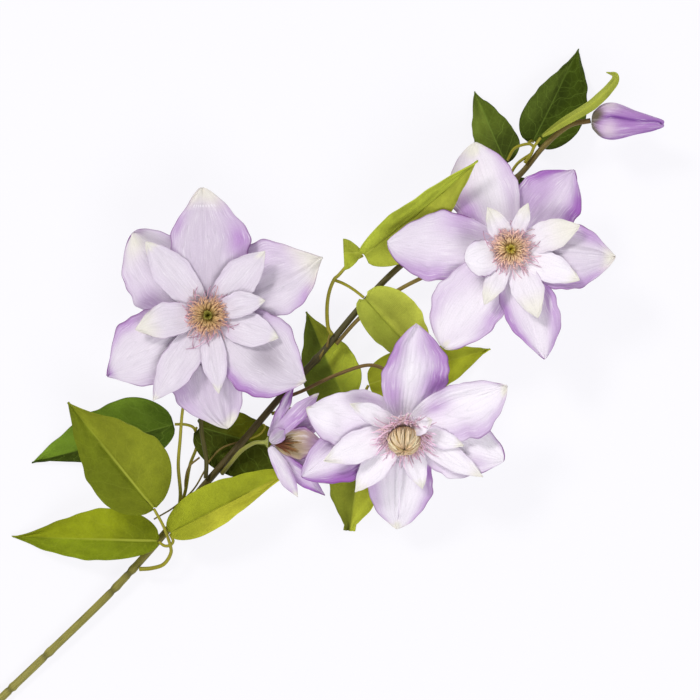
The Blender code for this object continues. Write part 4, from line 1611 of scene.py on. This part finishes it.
LEFT_FLOWER = Flower(
    "left", (-70.5, 17.2, 37.0), (0.0, 0.0, 1.0), (0.0, 0.0, 1.0),
    (
        Petal(
            (-73.5, 80.5, 45.0), Edge(17.0, 0.53, 1.3), Edge(22.5, 0.53, 1.25), 1, 6.0, snub=0.75,
            look=Print(MIST, ORCHID, 0.3, 0.4, 0.28, 0.45, 0.11, 0.55, dotted=0.85, patches=(
                Patch(0.44, 0.95, 0.05, 0.14, VIOLET, 0.9), Patch(0.56, -0.76, 0.12, 0.26, ORCHID, 0.95),
                Patch(0.69, 0.85, 0.09, 0.22, ORCHID, 0.6),
            )),
            relief=Relief(folds=(Fold((0.845, 0.55), (0.845, -0.6), 0.06, 0.5),)),
        ),
        Petal(
            (-13.5, 46.0, 43.0), Edge(22.5, 0.52, 1.2), Edge(17.0, 0.62, 1.2), 0, 1.5,
            # The grey patch in the middle is painted shade beside the inner petals.
            look=Print(PEARL, ORCHID, 0.35, 0.45, 0.22, 0.3, 0.16, 0.6, (
                Patch(0.78, -0.9, 0.13, 0.25, ORCHID, 0.85), Patch(0.5, 0.6, 0.35, 0.45, LILAC, 0.75),
                Patch(0.45, 0.05, 0.25, 0.3, ASH, 0.35),
            )),
            relief=Relief(curl=3.0, folds=(Fold((0.35, -0.15), (0.95, -0.2), 0.12, 1.1),)),
        ),
        Petal(
            (-22.0, -15.5, 42.0), Edge(19.0, 0.5, 1.15), Edge(22.0, 0.6, 0.75), 1, 7.0,
            # The grey patch over the hollow is painted shade, the shadow of an inner petal.
            look=Print(PEARL, ORCHID, 0.4, 0.9, 0.2, 0.2, 0.03, 0.85, (
                Patch(0.5, -0.92, 0.25, 0.16, VIOLET, 0.6), Patch(0.3, 0.8, 0.16, 0.35, ORCHID, 0.5),
                Patch(0.6, 0.0, 0.18, 0.46, ASH, 0.8),
            )),
            relief=Relief(dents=(Dent(0.58, 0.1, 0.16, 0.35, -3.8), Dent(0.75, -0.45, 0.12, 0.3, 0.8))),
        ),
        Petal(
            (-61.0, -39.0, 34.0), Edge(11.0, 0.6, 0.7), Edge(25.0, 0.52, 0.85), 0, 3.5, snub=0.25,
            look=Print(MIST, LILAC, 0.45, 0.7, 0.3, 0.45, 0.08, 0.4, (
                Patch(0.55, -0.85, 0.2, 0.25, ORCHID, 0.45),
            )),
            relief=Relief(folds=(
                Fold((0.4, -0.35), (0.95, -0.5), 0.1, 1.6), Fold((0.35, -0.1), (0.9, -0.12), 0.09, 1.4),
                Fold((0.45, 0.35), (0.9, 0.25), 0.12, 0.9),
            )),
        ),
        Petal(
            (-120.5, -13.0, 42.0), Edge(18.0, 0.55, 1.0), Edge(19.5, 0.58, 1.0), 1, 4.5,
            look=Print(PEARL, ORCHID, 0.4, 0.8, 0.2, 0.15, 0.0, 0.8, (
                Patch(0.98, -0.1, 0.05, 0.8, VIOLET, 0.8), Patch(0.6, -0.88, 0.2, 0.18, ORCHID, 0.6),
                Patch(0.55, 0.8, 0.2, 0.25, LILAC, 0.6),
            )),
            relief=Relief(rib=0.2, wave=1.3, waves=3.2, crumple=0.8),
        ),
        Petal(
            (-107.5, 58.5, 43.0), Edge(23.0, 0.5, 0.62), Edge(14.0, 0.6, 0.6), 0, 1.5,
            look=Print(PEARL, ORCHID, 0.45, 0.3, 0.2, 0.25, 0.0, 0.75, (
                Patch(0.93, 0.3, 0.12, 0.5, CREAM, 0.9), Patch(0.4, 0.75, 0.15, 0.3, ORCHID, 0.6),
                Patch(0.97, -0.6, 0.05, 0.4, PLUM, 0.5),
            )),
            relief=Relief(folds=(Fold((0.2, 0.1), (0.8, 0.1), 0.08, 1.2),)),
        ),
    ),
    (
        Petal((-101.0, 53.5, 53.0), Edge(9.0), Edge(9.5), 0, 2.0, snub=0.2, look=PALE_GREY, relief=BRIGHT),
        Petal(
            (-42.0, 49.0, 54.0), Edge(9.5), Edge(9.0), 0, 2.0, look=PALE_GREY,
            relief=replace(BRIGHT, curl=1.0),
        ),
        Petal((-42.0, 24.5, 52.0), Edge(7.8), Edge(5.0), 2, 2.0, look=PALE_GREY, relief=BRIGHT),
        Petal((-35.5, 6.0, 50.0), Edge(8.5), Edge(9.0), 0, 2.0, snub=0.15, look=PALE_GREY, relief=BRIGHT),
        Petal((-65.0, -21.5, 48.0), Edge(6.5), Edge(6.3), 1, 2.0, look=PALE_GREY, relief=BRIGHT),
        Petal(
            (-97.5, -25.0, 50.0), Edge(10.0), Edge(8.5), 0, 2.0, look=replace(PALE_GREY, rim=0.4, tip=0.05),
            relief=BRIGHT,
        ),
        Petal(
            (-106.0, 10.0, 53.0), Edge(7.0), Edge(10.5), 1, 2.0, snub=0.15,
            look=replace(PALE_GREY, rim=0.5, tip=0.25), relief=BRIGHT,
        ),
    ),
    UP_STAMENS,
    Stalk(
        (
            (-72.2, -64.2, 16.9), (-72.0, -54.0, 18.5), (-74.5, -36.0, 20.0), (-72.0, -10.0, 22.0),
            (-70.7, 10.0, 26.5), (-70.5, 17.0, 31.5), (-70.5, 17.2, 36.15),
        ),
        1.1, 1.1, ("#4a4420", "#545226", "#7a8040"), 4.0,
    ),
    100,
)

RIGHT_FLOWER = Flower(
    "right", (79.5, 50.0, 40.0), (0.0, 0.0, 1.0), (0.0, 0.0, 1.0),
    (
        Petal(
            (62.0, 103.0, 44.0), Edge(21.0, 0.55, 0.65), Edge(14.0, 0.58, 0.9), 1, 0.0, roll=-8,
            # The strong orchid patch on the left half is partly violet print and partly the painted shadow of
            # the long middle leaf.
            look=Print(SNOW, ORCHID, 0.35, 0.75, 0.28, 0.3, 0.07, 0.5, (
                Patch(0.45, -0.65, 0.3, 0.25, LILAC, 0.7), Patch(0.4, 0.75, 0.25, 0.35, ORCHID, 0.9),
                Patch(0.4, -0.1, 0.2, 0.3, SNOW, 0.7),
            )),
            relief=Relief(crumple=0.4),
        ),
        Petal(
            (111.5, 89.5, 40.0), Edge(16.5, 0.6, 1.1), Edge(16.5, 0.6, 0.95), 0, 0.5, snub=0.0,
            look=Print(LILAC, ORCHID, 0.95, 0.9, 0.32, 0.9, 0.0, 0.8, (
                Patch(0.7, -0.88, 0.2, 0.3, VIOLET, 0.95), Patch(0.8, 0.85, 0.22, 0.25, VIOLET, 0.85),
                Patch(0.55, 0.35, 0.2, 0.3, ORCHID, 0.5), Patch(0.7, -0.2, 0.25, 0.3, SNOW, 0.35),
            )),
            relief=Relief(wave=1.3, waves=3.4, dents=(Dent(0.55, 0.35, 0.2, 0.3, -1.5),)),
        ),
        Petal(
            (131.5, 46.5, 48.0), Edge(15.0, 0.55, 1.1), Edge(18.5, 0.5, 0.75), 5, 4.0,
            look=Print(PEARL, ORCHID, 0.8, 0.75, 0.24, 0.45, 0.09, 0.7, (
                Patch(0.62, -0.85, 0.25, 0.2, ORCHID, 0.6), Patch(0.72, 0.75, 0.14, 0.3, ORCHID, 0.7),
            )),
            relief=replace(RAYED, folds=(Fold((0.25, 0.1), (0.85, 0.12), 0.09, 0.9),)),
        ),
        Petal(
            (96.5, -4.5, 44.0), Edge(14.5, 0.58, 0.75), Edge(13.0, 0.45, 1.0), 4, 3.0,
            look=Print(SNOW, ORCHID, 1.0, 0.9, 0.36, 0.4, 0.0, 0.8, (
                Patch(0.55, 0.8, 0.3, 0.3, ORCHID, 0.8), Patch(0.5, -0.9, 0.3, 0.2, VIOLET, 0.7),
            )),
            relief=Relief(rib=0.2),
        ),
        Petal(
            (46.5, 1.0, 42.0), Edge(15.5, 0.5, 0.62), Edge(19.5, 0.6, 0.62), 3, 3.2,
            look=Print(SNOW, ORCHID, 0.75, 0.5, 0.3, 0.2, 0.04, 0.7, (
                Patch(0.45, 0.85, 0.3, 0.3, ORCHID, 0.6), Patch(0.2, -0.6, 0.2, 0.4, ORCHID, 0.45),
            )),
            relief=Relief(crumple=0.4),
        ),
        Petal(
            (18.5, 53.0, 49.0), Edge(17.5, 0.58, 0.62), Edge(17.5, 0.52, 0.8), 2, -2.0, cup=0.05, roll=-8,
            look=Print(SNOW, ORCHID, 0.7, 0.5, 0.28, 0.5, 0.0, 1.0, (
                Patch(0.62, 0.8, 0.25, 0.3, ORCHID, 0.6), Patch(0.35, -0.6, 0.25, 0.3, ORCHID, 0.5),
            )),
            relief=Relief(folds=(Fold((0.2, 0.55), (0.6, 0.45), 0.12, 0.9),), crumple=0.4),
        ),
    ),
    (
        Petal(
            (68.0, 70.5, 57.0), Edge(5.5), Edge(5.5), 0, 1.0, look=PALE_CREAM,
            relief=replace(BRIGHT, crease=0.35),
        ),
        Petal((88.0, 72.5, 58.0), Edge(4.0), Edge(4.0), 1, 1.0, snub=0.3, look=PALE_CREAM, relief=BRIGHT),
        Petal(
            (113.5, 61.5, 57.0), Edge(8.0), Edge(7.5), 0, 2.0, snub=0.25, look=replace(PALE_CREAM, tip=0.35),
            relief=BRIGHT,
        ),
        Petal((113.5, 34.5, 54.0), Edge(7.0), Edge(7.5), 1, 2.0, snub=0.25, look=PALE, relief=BRIGHT),
        Petal((93.0, 16.0, 54.0), Edge(8.5), Edge(7.5), 0, 2.0, snub=0.25, look=PALE_CREAM, relief=BRIGHT),
        Petal((66.5, 22.5, 55.0), Edge(5.5), Edge(5.5), 1, 2.0, snub=0.2, look=PALE_CREAM, relief=BRIGHT),
        Petal(
            (56.5, 45.0, 58.0), Edge(10.5, 0.64, 0.7), Edge(7.5, 0.6, 0.7), 0, 2.0, snub=0.6,
            look=replace(PALE, rim=0.7, tip=0.0), relief=BRIGHT,
        ),
    ),
    PALER_STAMENS,
    Stalk(
        (
            (-7.0, 3.0, 20.2), (6.5, 17.5, 21.5), (26.0, 31.0, 23.0), (50.0, 42.0, 25.0), (74.0, 49.5, 29.0),
            (79.3, 50.0, 34.0), (79.5, 50.0, 39.3),
        ),
        1.0, 1.1, ("#6b5a2c", "#8a7a3c", "#8a8f45"), 4.0,
    ),
    140,
)

MIDDLE_FLOWER = Flower(
    "middle", (26.8, -35.5, 38.0), (0.0, -0.55, 0.83), (0.0, -0.72, 0.69),
    (
        Petal(
            (32.5, 13.0, 58.0), Edge(14.0, 0.42, 0.85), Edge(20.0, 0.5, 0.85), 3, 3.0, neck=0.3, roll=15,
            # The violet patch low on the right edge is painted shadow where this petal tucks under the next
            # petal.
            look=Print(WHITE, ORCHID, 1.0, 0.95, 0.52, 0.6, 0.02, 0.8, (
                Patch(0.4, -0.72, 0.2, 0.38, VIOLET, 0.8), Patch(0.25, 0.6, 0.2, 0.4, ORCHID, 0.7),
                Patch(0.8, -0.5, 0.2, 0.4, ORCHID, 0.4), Patch(0.45, 0.05, 0.3, 0.2, WHITE, 0.7),
            )),
            relief=RAYED,
        ),
        Petal(
            (77.5, -17.5, 56.0), Edge(10.5, 0.45, 0.8), Edge(19.5, 0.55, 0.8), 4, 3.0, roll=12,
            look=Print(WHITE, ORCHID, 0.45, 0.65, 0.26, 0.15, 0.04, 0.5, (
                Patch(0.3, 0.3, 0.14, 0.4, ORCHID, 0.75), Patch(0.45, -0.8, 0.25, 0.3, ORCHID, 0.55),
            )),
            relief=replace(RAYED, wave=1.2, waves=3.4),
        ),
        Petal(
            (76.5, -55.0, 40.0), Edge(13.0, 0.6, 0.6), Edge(17.5, 0.5, 0.9), 2, 1.5, snub=0.1,
            look=Print(WHITE, ORCHID, 0.6, 0.7, 0.22, 0.05, 0.0, 0.9, (
                Patch(0.75, -0.5, 0.15, 0.35, LILAC, 0.8),
            )),
            relief=RAYED,
        ),
        Petal(
            (23.5, -89.5, 18.0), Edge(16.5, 0.55, 0.75), Edge(17.0, 0.5, 0.8), 1, 6.0, neck=0.1, snub=0.1,
            look=Print(WHITE, ORCHID, 0.7, 0.55, 0.3, 0.2, 0.05, 0.5, (
                Patch(0.4, 0.85, 0.16, 0.25, VIOLET, 0.7), Patch(0.6, -0.85, 0.25, 0.28, ORCHID, 0.6),
            )),
            relief=replace(RAYED, folds=(
                Fold((0.3, 0.06), (0.9, 0.04), 0.05, -1.0), Fold((0.35, -0.12), (0.85, -0.06), 0.05, 0.8),
                Fold((0.3, 0.2), (0.85, 0.12), 0.05, 0.7),
            )),
        ),
        Petal(
            (-24.0, -63.0, 42.5), Edge(14.0, 0.55, 0.8), Edge(13.0, 0.6, 0.75), 0, 1.0, neck=0.1,
            look=Print(SNOW, VIOLET, 1.0, 0.6, 0.32, 0.8, 0.0, 1.0, (
                Patch(0.55, 0.75, 0.35, 0.36, VIOLET, 0.85), Patch(0.4, -0.5, 0.25, 0.35, ORCHID, 0.8),
                Patch(0.75, 0.0, 0.14, 0.4, WHITE, 0.2),
            )),
            relief=RAYED,
        ),
        Petal(
            (-21.5, -28.5, 54.0), Edge(16.5, 0.62, 0.7), Edge(13.0, 0.4, 1.0), 2, 1.0, neck=0.4, snub=0.1,
            look=Print(WHITE, ORCHID, 0.6, 0.5, 0.28, 0.15, 0.03, 0.6, (
                Patch(0.35, 0.6, 0.2, 0.35, ORCHID, 0.6), Patch(0.35, -0.7, 0.25, 0.3, ORCHID, 0.5),
            )),
            relief=Relief(curl=1.5, wave=1.2),
        ),
    ),
    (
        Petal((0.0, -26.5, 61.0), Edge(5.0), Edge(5.0), 1, 1.0, look=PALE, relief=BRIGHT),
        Petal((-13.0, -55.0, 52.0), Edge(8.0), Edge(8.0), 0, 2.0, look=PALE, relief=BRIGHT),
        Petal((2.5, -70.5, 41.5), Edge(7.0), Edge(7.0), 1, 3.0, look=PALE, relief=BRIGHT),
        Petal((36.0, -69.0, 37.5), Edge(6.0), Edge(6.0), 0, 3.0, snub=0.15, look=PALE, relief=BRIGHT),
        Petal((66.0, -63.0, 43.0), Edge(6.0), Edge(6.0), 1, 3.0, look=PALE, relief=BRIGHT),
        Petal((56.5, -47.5, 47.5), Edge(5.0), Edge(5.0), 0, 2.0, look=PALE, relief=BRIGHT),
        Petal(
            (40.5, -34.5, 57.0), Edge(3.6), Edge(5.6), 1, 3.0, snub=0.6, look=PALE,
            relief=replace(BRIGHT, crease=0.4),
        ),
        Petal((28.5, -31.5, 58.0), Edge(4.0), Edge(4.0), 1, 1.0, snub=0.4, look=PALE, relief=BRIGHT),
    ),
    SIDE_STAMENS,
    Stalk(
        (
            (-33.3, -24.0, 21.0), (-24.0, -20.5, 24.0), (-7.0, -12.5, 26.5), (10.0, -7.5, 28.0),
            (21.0, -13.0, 29.0), (26.8, -25.0, 31.0), (26.8, -32.0, 33.5), (26.8, -35.1, 37.2),
        ),
        0.9, 0.9, ("#6b5430", "#7a6534", "#8a8f45"), 4.0,
    ),
    180,
)

CUP = Print(LILAC, ORCHID, 0.85, 0.8, 0.5, 0.8, 0.0, 0.9)
HALF_OPEN_FLOWER = HalfOpenFlower(
    (-38.2, -46.2, 35.6), (0.98, -0.17, 0.05),
    (
        ((-40.0, -43.2, 34.5), (-27.8, -17.5, 34.5), 2.6, 0.5, replace(
            CUP, right=1.0, margin=VIOLET, patches=(Patch(0.8, -0.6, 0.4, 0.5, VIOLET, 0.8),),
        )),
        ((-38.8, -44.0, 36.6), (-15.5, -21.5, 43.0), 4.2, -0.4, replace(
            CUP, left=0.5, right=1.0, tip=0.06, patches=(Patch(0.5, -0.3, 0.4, 0.7, ORCHID, 0.9),),
        )),
        ((-39.5, -43.6, 31.8), (-10.5, -33.0, 27.0), 6.0, 0.1, replace(CUP, body=ORCHID, margin=VIOLET)),
        ((-37.5, -46.0, 32.2), (-13.5, -46.5, 34.0), 8.0, 0.2, Print(
            BEIGE, VIOLET, 0.9, 0.7, 0.2, 0.0, 0.0, 1.0, (Patch(1.0, 0.1, 0.36, 1.2, ORCHID, 0.95),),
        )),
        ((-39.8, -48.2, 36.3), (-26.0, -73.0, 41.0), 3.8, -0.4, replace(
            CUP, blush=0.3, body=PEARL, tip=0.08,
        )),
        ((-39.8, -48.0, 31.4), (-17.0, -62.0, 25.5), 4.5, 0.1, CUP),
        ((-40.0, -49.4, 32.6), (-12.5, -72.5, 30.5), 4.2, 0.1, replace(
            CUP, left=1.0, right=1.0, margin=VIOLET,
        )),
        # This front petal's grey body is painted shade.
        ((-39.5, -46.0, 38.0), (-32.5, -39.5, 43.0), 3.6, -0.4, replace(CUP, body=ASH, blush=0.3)),
    ),
    Relief(wave=0.3, crumple=0.2),
    (
        StamenRing(
            12, ((0.3, 0.0), (0.9, 3.0), (1.6, 7.0), (2.6, 11.5)), 0.2, 1.3,
            ("#6b4030", "#7d5038", "#9a7a48"), 0.2,
        ),
        StamenRing(
            18, ((0.6, 0.0), (1.6, 3.0), (3.0, 6.5), (4.6, 9.5)), 0.18, 1.3,
            ("#6b4030", "#74452f", "#8a6038"), 0.25,
        ),
    ),
    Stalk(
        (
            (-64.2, -62.0, 14.9), (-60.5, -57.5, 18.5), (-54.5, -50.5, 24.5), (-48.0, -46.4, 31.0),
            (-44.0, -46.0, 33.8), (-40.7, -46.0, 34.2),
        ),
        1.1, 0.9, ("#6f6a30", "#8a8a42", "#9aa050"), 3.0,
    ),
)

BUD = Bud((120.6, 114.6, 27.1), (0.995, -0.06, 0.08), (
    (0.0, 35.0), (2.0, 34.8), (3.7, 30.0), (5.9, 21.6), (8.1, 15.0), (9.0, 10.0), (8.0, 5.0), (4.5, 1.0),
    (2.2, 0.0),
))

FOLIAGE = Foliage(
    {
        "leaf_lower_left": (
            Blade(
                (-96.5, -95.5, 17.5), (-170.0, -94.0, 1.2), Edge(10.5, 0.4), Edge(15.8, 0.3, 1.45), arch=4,
                neck=0.08, shoulder=0.45, lobe=1,
            ),
            # Its darker left half, below the midrib, is painted shade.
            LeafLook(
                "#788616", "#848d16", "#6e7a14", bands=(ShadowBand(0.35, -0.3, 0.25, 0.2, 0.1),),
                relief=replace(SOFT, folds=(Fold((0.05, 0.0), (0.5, 0.05), 0.07, 1.0),)),
            ),
        ),
        "leaf_lower_top": (
            Blade(
                (-98.0, -78.5, 31.0), (-140.3, -26.0, 38.0), Edge(18.0, 0.3, 1.1), Edge(23.0, 0.3, 1.3),
                neck=0.05, shoulder=0.5, lobe=1,
            ),
            LeafLook("#6b7618", "#7f8622", "#6e7618", relief=replace(
                SOFT,
                folds=(Fold((0.0, -0.03), (0.62, 0.03), 0.045, 1.1), Fold(
                    (0.0, 0.05), (0.6, 0.1), 0.03, -0.7,
                )),
            )),
        ),
        "leaf_lower_right": (
            Blade(
                (-89.8, -91.2, 20.0), (-25.0, -58.0, 24.0), Edge(13.0, 0.3), Edge(9.0, 0.22, 1.7), arch=4,
                neck=0.08, shoulder=0.45, lobe=1,
            ),
            LeafLook("#949c24", "#b0b034", "#929a22", relief=replace(
                SOFT, folds=(Fold((0.0, 0.0), (0.6, 0.0), 0.05, -0.8),),
            )),
        ),
        "leaf_back_left": (
            Blade(
                (-88.6, -37.4, 9.0), (-160.2, -56.7, 0.4), Edge(12.5, 0.22, 1.45), Edge(19.2, 0.28), arch=1.5,
            ),
            LeafLook("#3a480f", "#6c8826", "#54701a", True, bands=(ShadowBand(0.15, 0.0, 0.2, 1.0, 0.4),)),
        ),
        "leaf_back_right": (
            Blade(
                (-75.5, -38.6, 9.0), (-22.5, -54.0, 2.0), Edge(12.5, 0.3, 1.1), Edge(19.5, 0.4, 0.8),
                arch=1.5, shoulder=0.45, lobe=2,
            ),
            LeafLook("#666c10", "#434c0c", "#404812", True),
        ),
        "leaf_centre_left": (
            Blade(
                (-2.5, -26.5, 11.5), (-22.0, 19.2, 4.0), Edge(15.5, 0.25, 1.25), Edge(14.0, 0.28, 1.15),
                arch=2,
            ),
            # The darker left half is painted shade, where that half faces away from the light and the stem's
            # and petals' shadows fall; the band at the tip is the painted shadow of the left flower's petals.
            LeafLook("#6c7c28", "#b0bc3a", "#90a02c", True, bands=(ShadowBand(0.85, 0.0, 0.25, 1.0, 0.3),)),
        ),
        "leaf_centre_right": (
            Blade(
                (9.5, -17.0, 9.0), (70.5, 0.5, 0.4), Edge(12.0, 0.25), Edge(15.0, 0.35, 1.2), arch=2,
                shoulder=0.45,
            ),
            LeafLook("#a0a92e", "#a9b22d", "#9aa22a"),
        ),
        "leaf_centre_down": (
            Blade(
                (7.5, -40.0, 9.0), (0.0, -91.0, 0.4), Edge(14.0, 0.4, 0.9), Edge(15.0, 0.4, 0.8), arch=2,
                blunt=0.2,
            ),
            LeafLook("#bac23c", "#838c2a", "#787f22", bands=(
                ShadowBand(0.55, -0.2, 0.3, 0.3, 0.25), ShadowBand(0.99, -0.35, 0.07, 0.5, 0.6),
            )),
        ),
        "leaf_middle_round": (
            Blade(
                (7.5, 25.5, 28.5), (41.0, -11.0, 20.0), Edge(17.0, 0.33, 0.95), Edge(10.5, 0.32), arch=3,
                shoulder=0.42, lobe=2,
            ),
            LeafLook(
                "#bac24a", "#9aa43a", "#aeb646", bands=(ShadowBand(0.45, 0.25, 0.4, 0.1, 0.2),),
                relief=replace(SOFT, folds=(Fold((0.0, 0.0), (0.9, 0.0), 0.05, -0.8),)),
            ),
        ),
        "leaf_middle_long": (
            Blade(
                (7.0, 47.5, 33.0), (63.0, 93.5, 58.0), Edge(9.0, 0.4, 1.1), Edge(16.0, 0.28, 1.25),
                via=((25.0, 61.0, 36.5), (45.0, 77.0, 48.5)), neck=0.3, lobe=1, roll=22,
            ),
            LeafLook("#aab63c", "#a2a83a", "#a2ac38", relief=replace(
                SOFT, folds=(Fold((0.1, 0.0), (0.7, 0.0), 0.05, -0.7),),
            )),
        ),
        "leaf_middle_small": (
            Blade(
                (6.4, 48.6, 33.4), (-3.2, 48.2, 34.5), Edge(8.4, 1.01), Edge(7.2, 1.01), neck=0.06,
                shoulder=1.0,
            ),
            LeafLook("#9aa333", "#949c33", "#9aa038", relief=replace(
                SOFT, wave=0.2, crumple=0.2, ruffle=0.0,
            )),
        ),
        "leaf_top_left": (
            Blade(
                (78.0, 93.5, 12.0), (62.8, 130.0, 0.4), Edge(10.5, 0.3, 1.1), Edge(11.0, 0.22, 1.15), arch=2,
            ),
            # The dark colour near the stalk and the band there are the painted shadow of the right flower's top
            # petal.
            LeafLook("#6a7a2b", "#586820", "#33400e", True, bands=(ShadowBand(0.25, 0.0, 0.2, 1.0, 0.45),)),
        ),
        "leaf_top_large": (
            Blade(
                (92.0, 105.0, 15.0), (115.0, 151.5, 0.4), Edge(11.5, 0.2, 1.5), Edge(18.5, 0.33), arch=2,
                shoulder=0.42, lobe=2,
            ),
            # The darker right half is painted shade, where that half faces away from the light, and the band is
            # the painted shadow of the curled leaf.
            LeafLook("#4c5b1d", "#40500e", "#38460e", True, bands=(ShadowBand(0.55, -0.15, 0.25, 0.3, 0.4),)),
        ),
        "leaf_top_curled": (
            Blade((95.8, 106.6, 27.0), (127.5, 138.2, 36.0), Edge(2.4, 0.45), Edge(2.8, 0.45), via=(
                (106.0, 113.5, 29.0), (120.0, 122.0, 32.0), (129.5, 131.0, 34.0), (132.0, 136.5, 35.0),
            )),
            LeafLook("#98a042", "#98a03e", "#868e32", relief=replace(SOFT, wave=0.2, crumple=0.2)),
        ),
        "leaf_top_hidden": (
            Blade((81.0, 84.5, 14.0), (106.0, 62.5, 8.0), Edge(8.0, 0.35), Edge(8.0, 0.35), arch=1),
            LeafLook("#2c3a10", "#2c3a10", "#2c3a10", True),
        ),
    },
)

WIRE_COLOURS = ("#6f5c28", "#8a7c34")
STEMS = Stems(
    (
        Stalk(
            (
                (-203.5, -202.0, 2.1), (-175.0, -174.5, 2.6), (-154.0, -154.5, 3.8), (-119.5, -121.0, 6.0),
                (-94.0, -93.0, 9.5), (-72.0, -66.5, 13.5), (-51.5, -43.0, 17.0), (-34.0, -22.5, 18.5),
                (-16.0, -3.5, 20.0), (5.5, 22.0, 21.0), (25.0, 42.0, 21.5), (55.0, 65.0, 21.5),
                (82.5, 85.5, 22.0), (96.5, 101.5, 23.0), (109.0, 112.0, 25.0), (120.0, 114.6, 27.0),
            ),
            2.1, 1.3,
            (
                "#8c8540", "#8c8640", "#7c7632", "#52481e", "#4c4222", "#474220", "#524a20", "#625828",
                "#72622c", "#634d28",
            ),
            joints=(0.078, 0.135, 0.2, 0.22), knots=(0.285, 0.53, 0.8), groove=0.06,
        ),
        Stalk(((-15.5, -4.5, 20.5), (-14.0, -1.5, 22.5), (-13.2, 0.2, 23.0)), 0.8, 0.2, WIRE_COLOURS),
        Stalk(((-11.5, 1.5, 21.5), (-10.6, 6.0, 23.0), (-9.6, 9.0, 23.5)), 0.7, 0.15, WIRE_COLOURS),
    ),
    {
        "sprig_lower": (
            Stalk(
                (
                    (-105.7, -110.0, 9.6), (-99.5, -109.5, 11.0), (-93.5, -107.5, 13.0),
                    (-90.0, -102.5, 15.0), (-90.0, -98.0, 17.5), (-93.0, -88.5, 25.0), (-97.7, -79.3, 30.7),
                ),
                1.1, 0.7,
            ),
            Stalk(((-90.0, -98.0, 17.5), (-93.0, -98.0, 17.6), (-95.8, -96.0, 17.5)), 0.8, 0.7),
            Stalk(((-90.0, -98.0, 17.5), (-88.5, -95.5, 18.5), (-90.0, -92.2, 19.8)), 0.8, 0.7),
        ),
        "sprig_back": (
            Stalk(
                (
                    (-84.4, -76.6, 11.7), (-82.5, -70.0, 10.8), (-80.5, -58.0, 8.0), (-77.0, -48.0, 5.6),
                    (-78.0, -40.0, 6.8), (-82.0, -37.6, 8.2), (-88.0, -37.3, 9.0),
                ),
                0.9, 0.7,
            ),
            Stalk(((-77.5, -43.0, 6.0), (-77.6, -40.5, 6.9), (-77.0, -38.9, 7.9)), 0.8, 0.6),
            Stalk(
                (
                    (-54.0, -45.6, 14.0), (-64.0, -49.0, 12.0), (-70.0, -55.0, 11.5), (-73.5, -61.5, 11.0),
                    (-79.0, -70.5, 10.5), (-88.5, -79.0, 9.5), (-98.5, -85.0, 9.0),
                ),
                0.5, 0.4, WIRE_COLOURS,
            ),
            Stalk(
                ((-75.5, -53.9, 11.5), (-80.8, -58.6, 11.0), (-82.6, -65.0, 10.9), (-82.7, -71.0, 10.9)), 0.5,
                0.5, WIRE_COLOURS,
            ),
            Stalk(
                ((-50.5, -44.5, 16.5), (-45.0, -42.0, 17.5), (-42.5, -38.5, 18.0), (-43.5, -37.0, 18.5)), 0.6,
                0.4,
            ),
        ),
        "sprig_centre": (
            Stalk(
                (
                    (-39.2, -31.8, 16.8), (-25.0, -29.0, 13.0), (-5.0, -29.5, 10.5), (3.0, -30.0, 9.8),
                    (7.0, -34.0, 9.5), (7.5, -39.4, 9.1),
                ),
                0.9, 0.7,
            ),
            Stalk(((-5.0, -29.5, 10.5), (-3.5, -28.6, 10.9), (-2.6, -27.1, 11.4)), 0.7, 0.6),
            Stalk(((3.0, -30.0, 9.8), (6.0, -24.0, 9.4), (9.2, -17.7, 9.1)), 0.8, 0.7),
        ),
        "sprig_middle": (
            Stalk(
                (
                    (-9.0, 7.7, 22.7), (-11.0, 11.5, 24.0), (-11.5, 20.5, 25.5), (-10.5, 28.5, 27.0),
                    (-8.0, 35.0, 28.5), (-5.5, 37.5, 29.0), (0.5, 44.0, 29.8), (6.3, 47.0, 32.3),
                ),
                1.0, 0.8,
            ),
            Stalk(((-8.0, 35.0, 28.5), (-3.0, 33.0, 28.5), (2.0, 30.0, 28.5), (7.0, 26.1, 28.5)), 0.8, 0.7),
        ),
        "sprig_top": (
            Stalk(
                ((87.3, 93.4, 24.7), (90.5, 98.0, 25.4), (92.0, 101.5, 25.8), (95.2, 106.0, 26.8)), 0.9, 0.7,
            ),
            Stalk(
                ((92.0, 101.5, 25.8), (89.0, 103.0, 24.0), (82.5, 101.0, 17.5), (79.0, 95.2, 13.3)), 0.8, 0.7,
            ),
            Stalk(((89.0, 103.0, 24.0), (90.5, 104.5, 20.0), (91.7, 104.4, 15.4)), 0.8, 0.7),
            Stalk(((90.5, 98.0, 25.4), (84.0, 93.5, 21.0), (80.5, 88.0, 16.0), (81.0, 85.1, 14.2)), 0.8, 0.7),
        ),
        "tendril": (
            Stalk(
                (
                    (-86.5, -84.5, 13.9), (-85.0, -72.5, 15.0), (-86.0, -58.0, 17.0), (-85.0, -44.5, 19.0),
                    (-83.5, -29.0, 23.0), (-80.0, -15.0, 26.0),
                ),
                1.0, 0.7,
            ),
        ),
    },
)


def main() -> None:
    """Builds the studio and the spray, and reports each piece."""
    logging.basicConfig(level=logging.INFO, format="%(name)s: %(message)s")
    Studio().build()
    finishes = Finishes.build()
    STEMS.build(finishes)
    FOLIAGE.build(finishes)
    for flower in (LEFT_FLOWER, RIGHT_FLOWER, MIDDLE_FLOWER):
        flower.build(finishes)
    HALF_OPEN_FLOWER.build(finishes)
    BUD.build(finishes)
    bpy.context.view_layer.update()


if __name__ == "__main__":
    main()
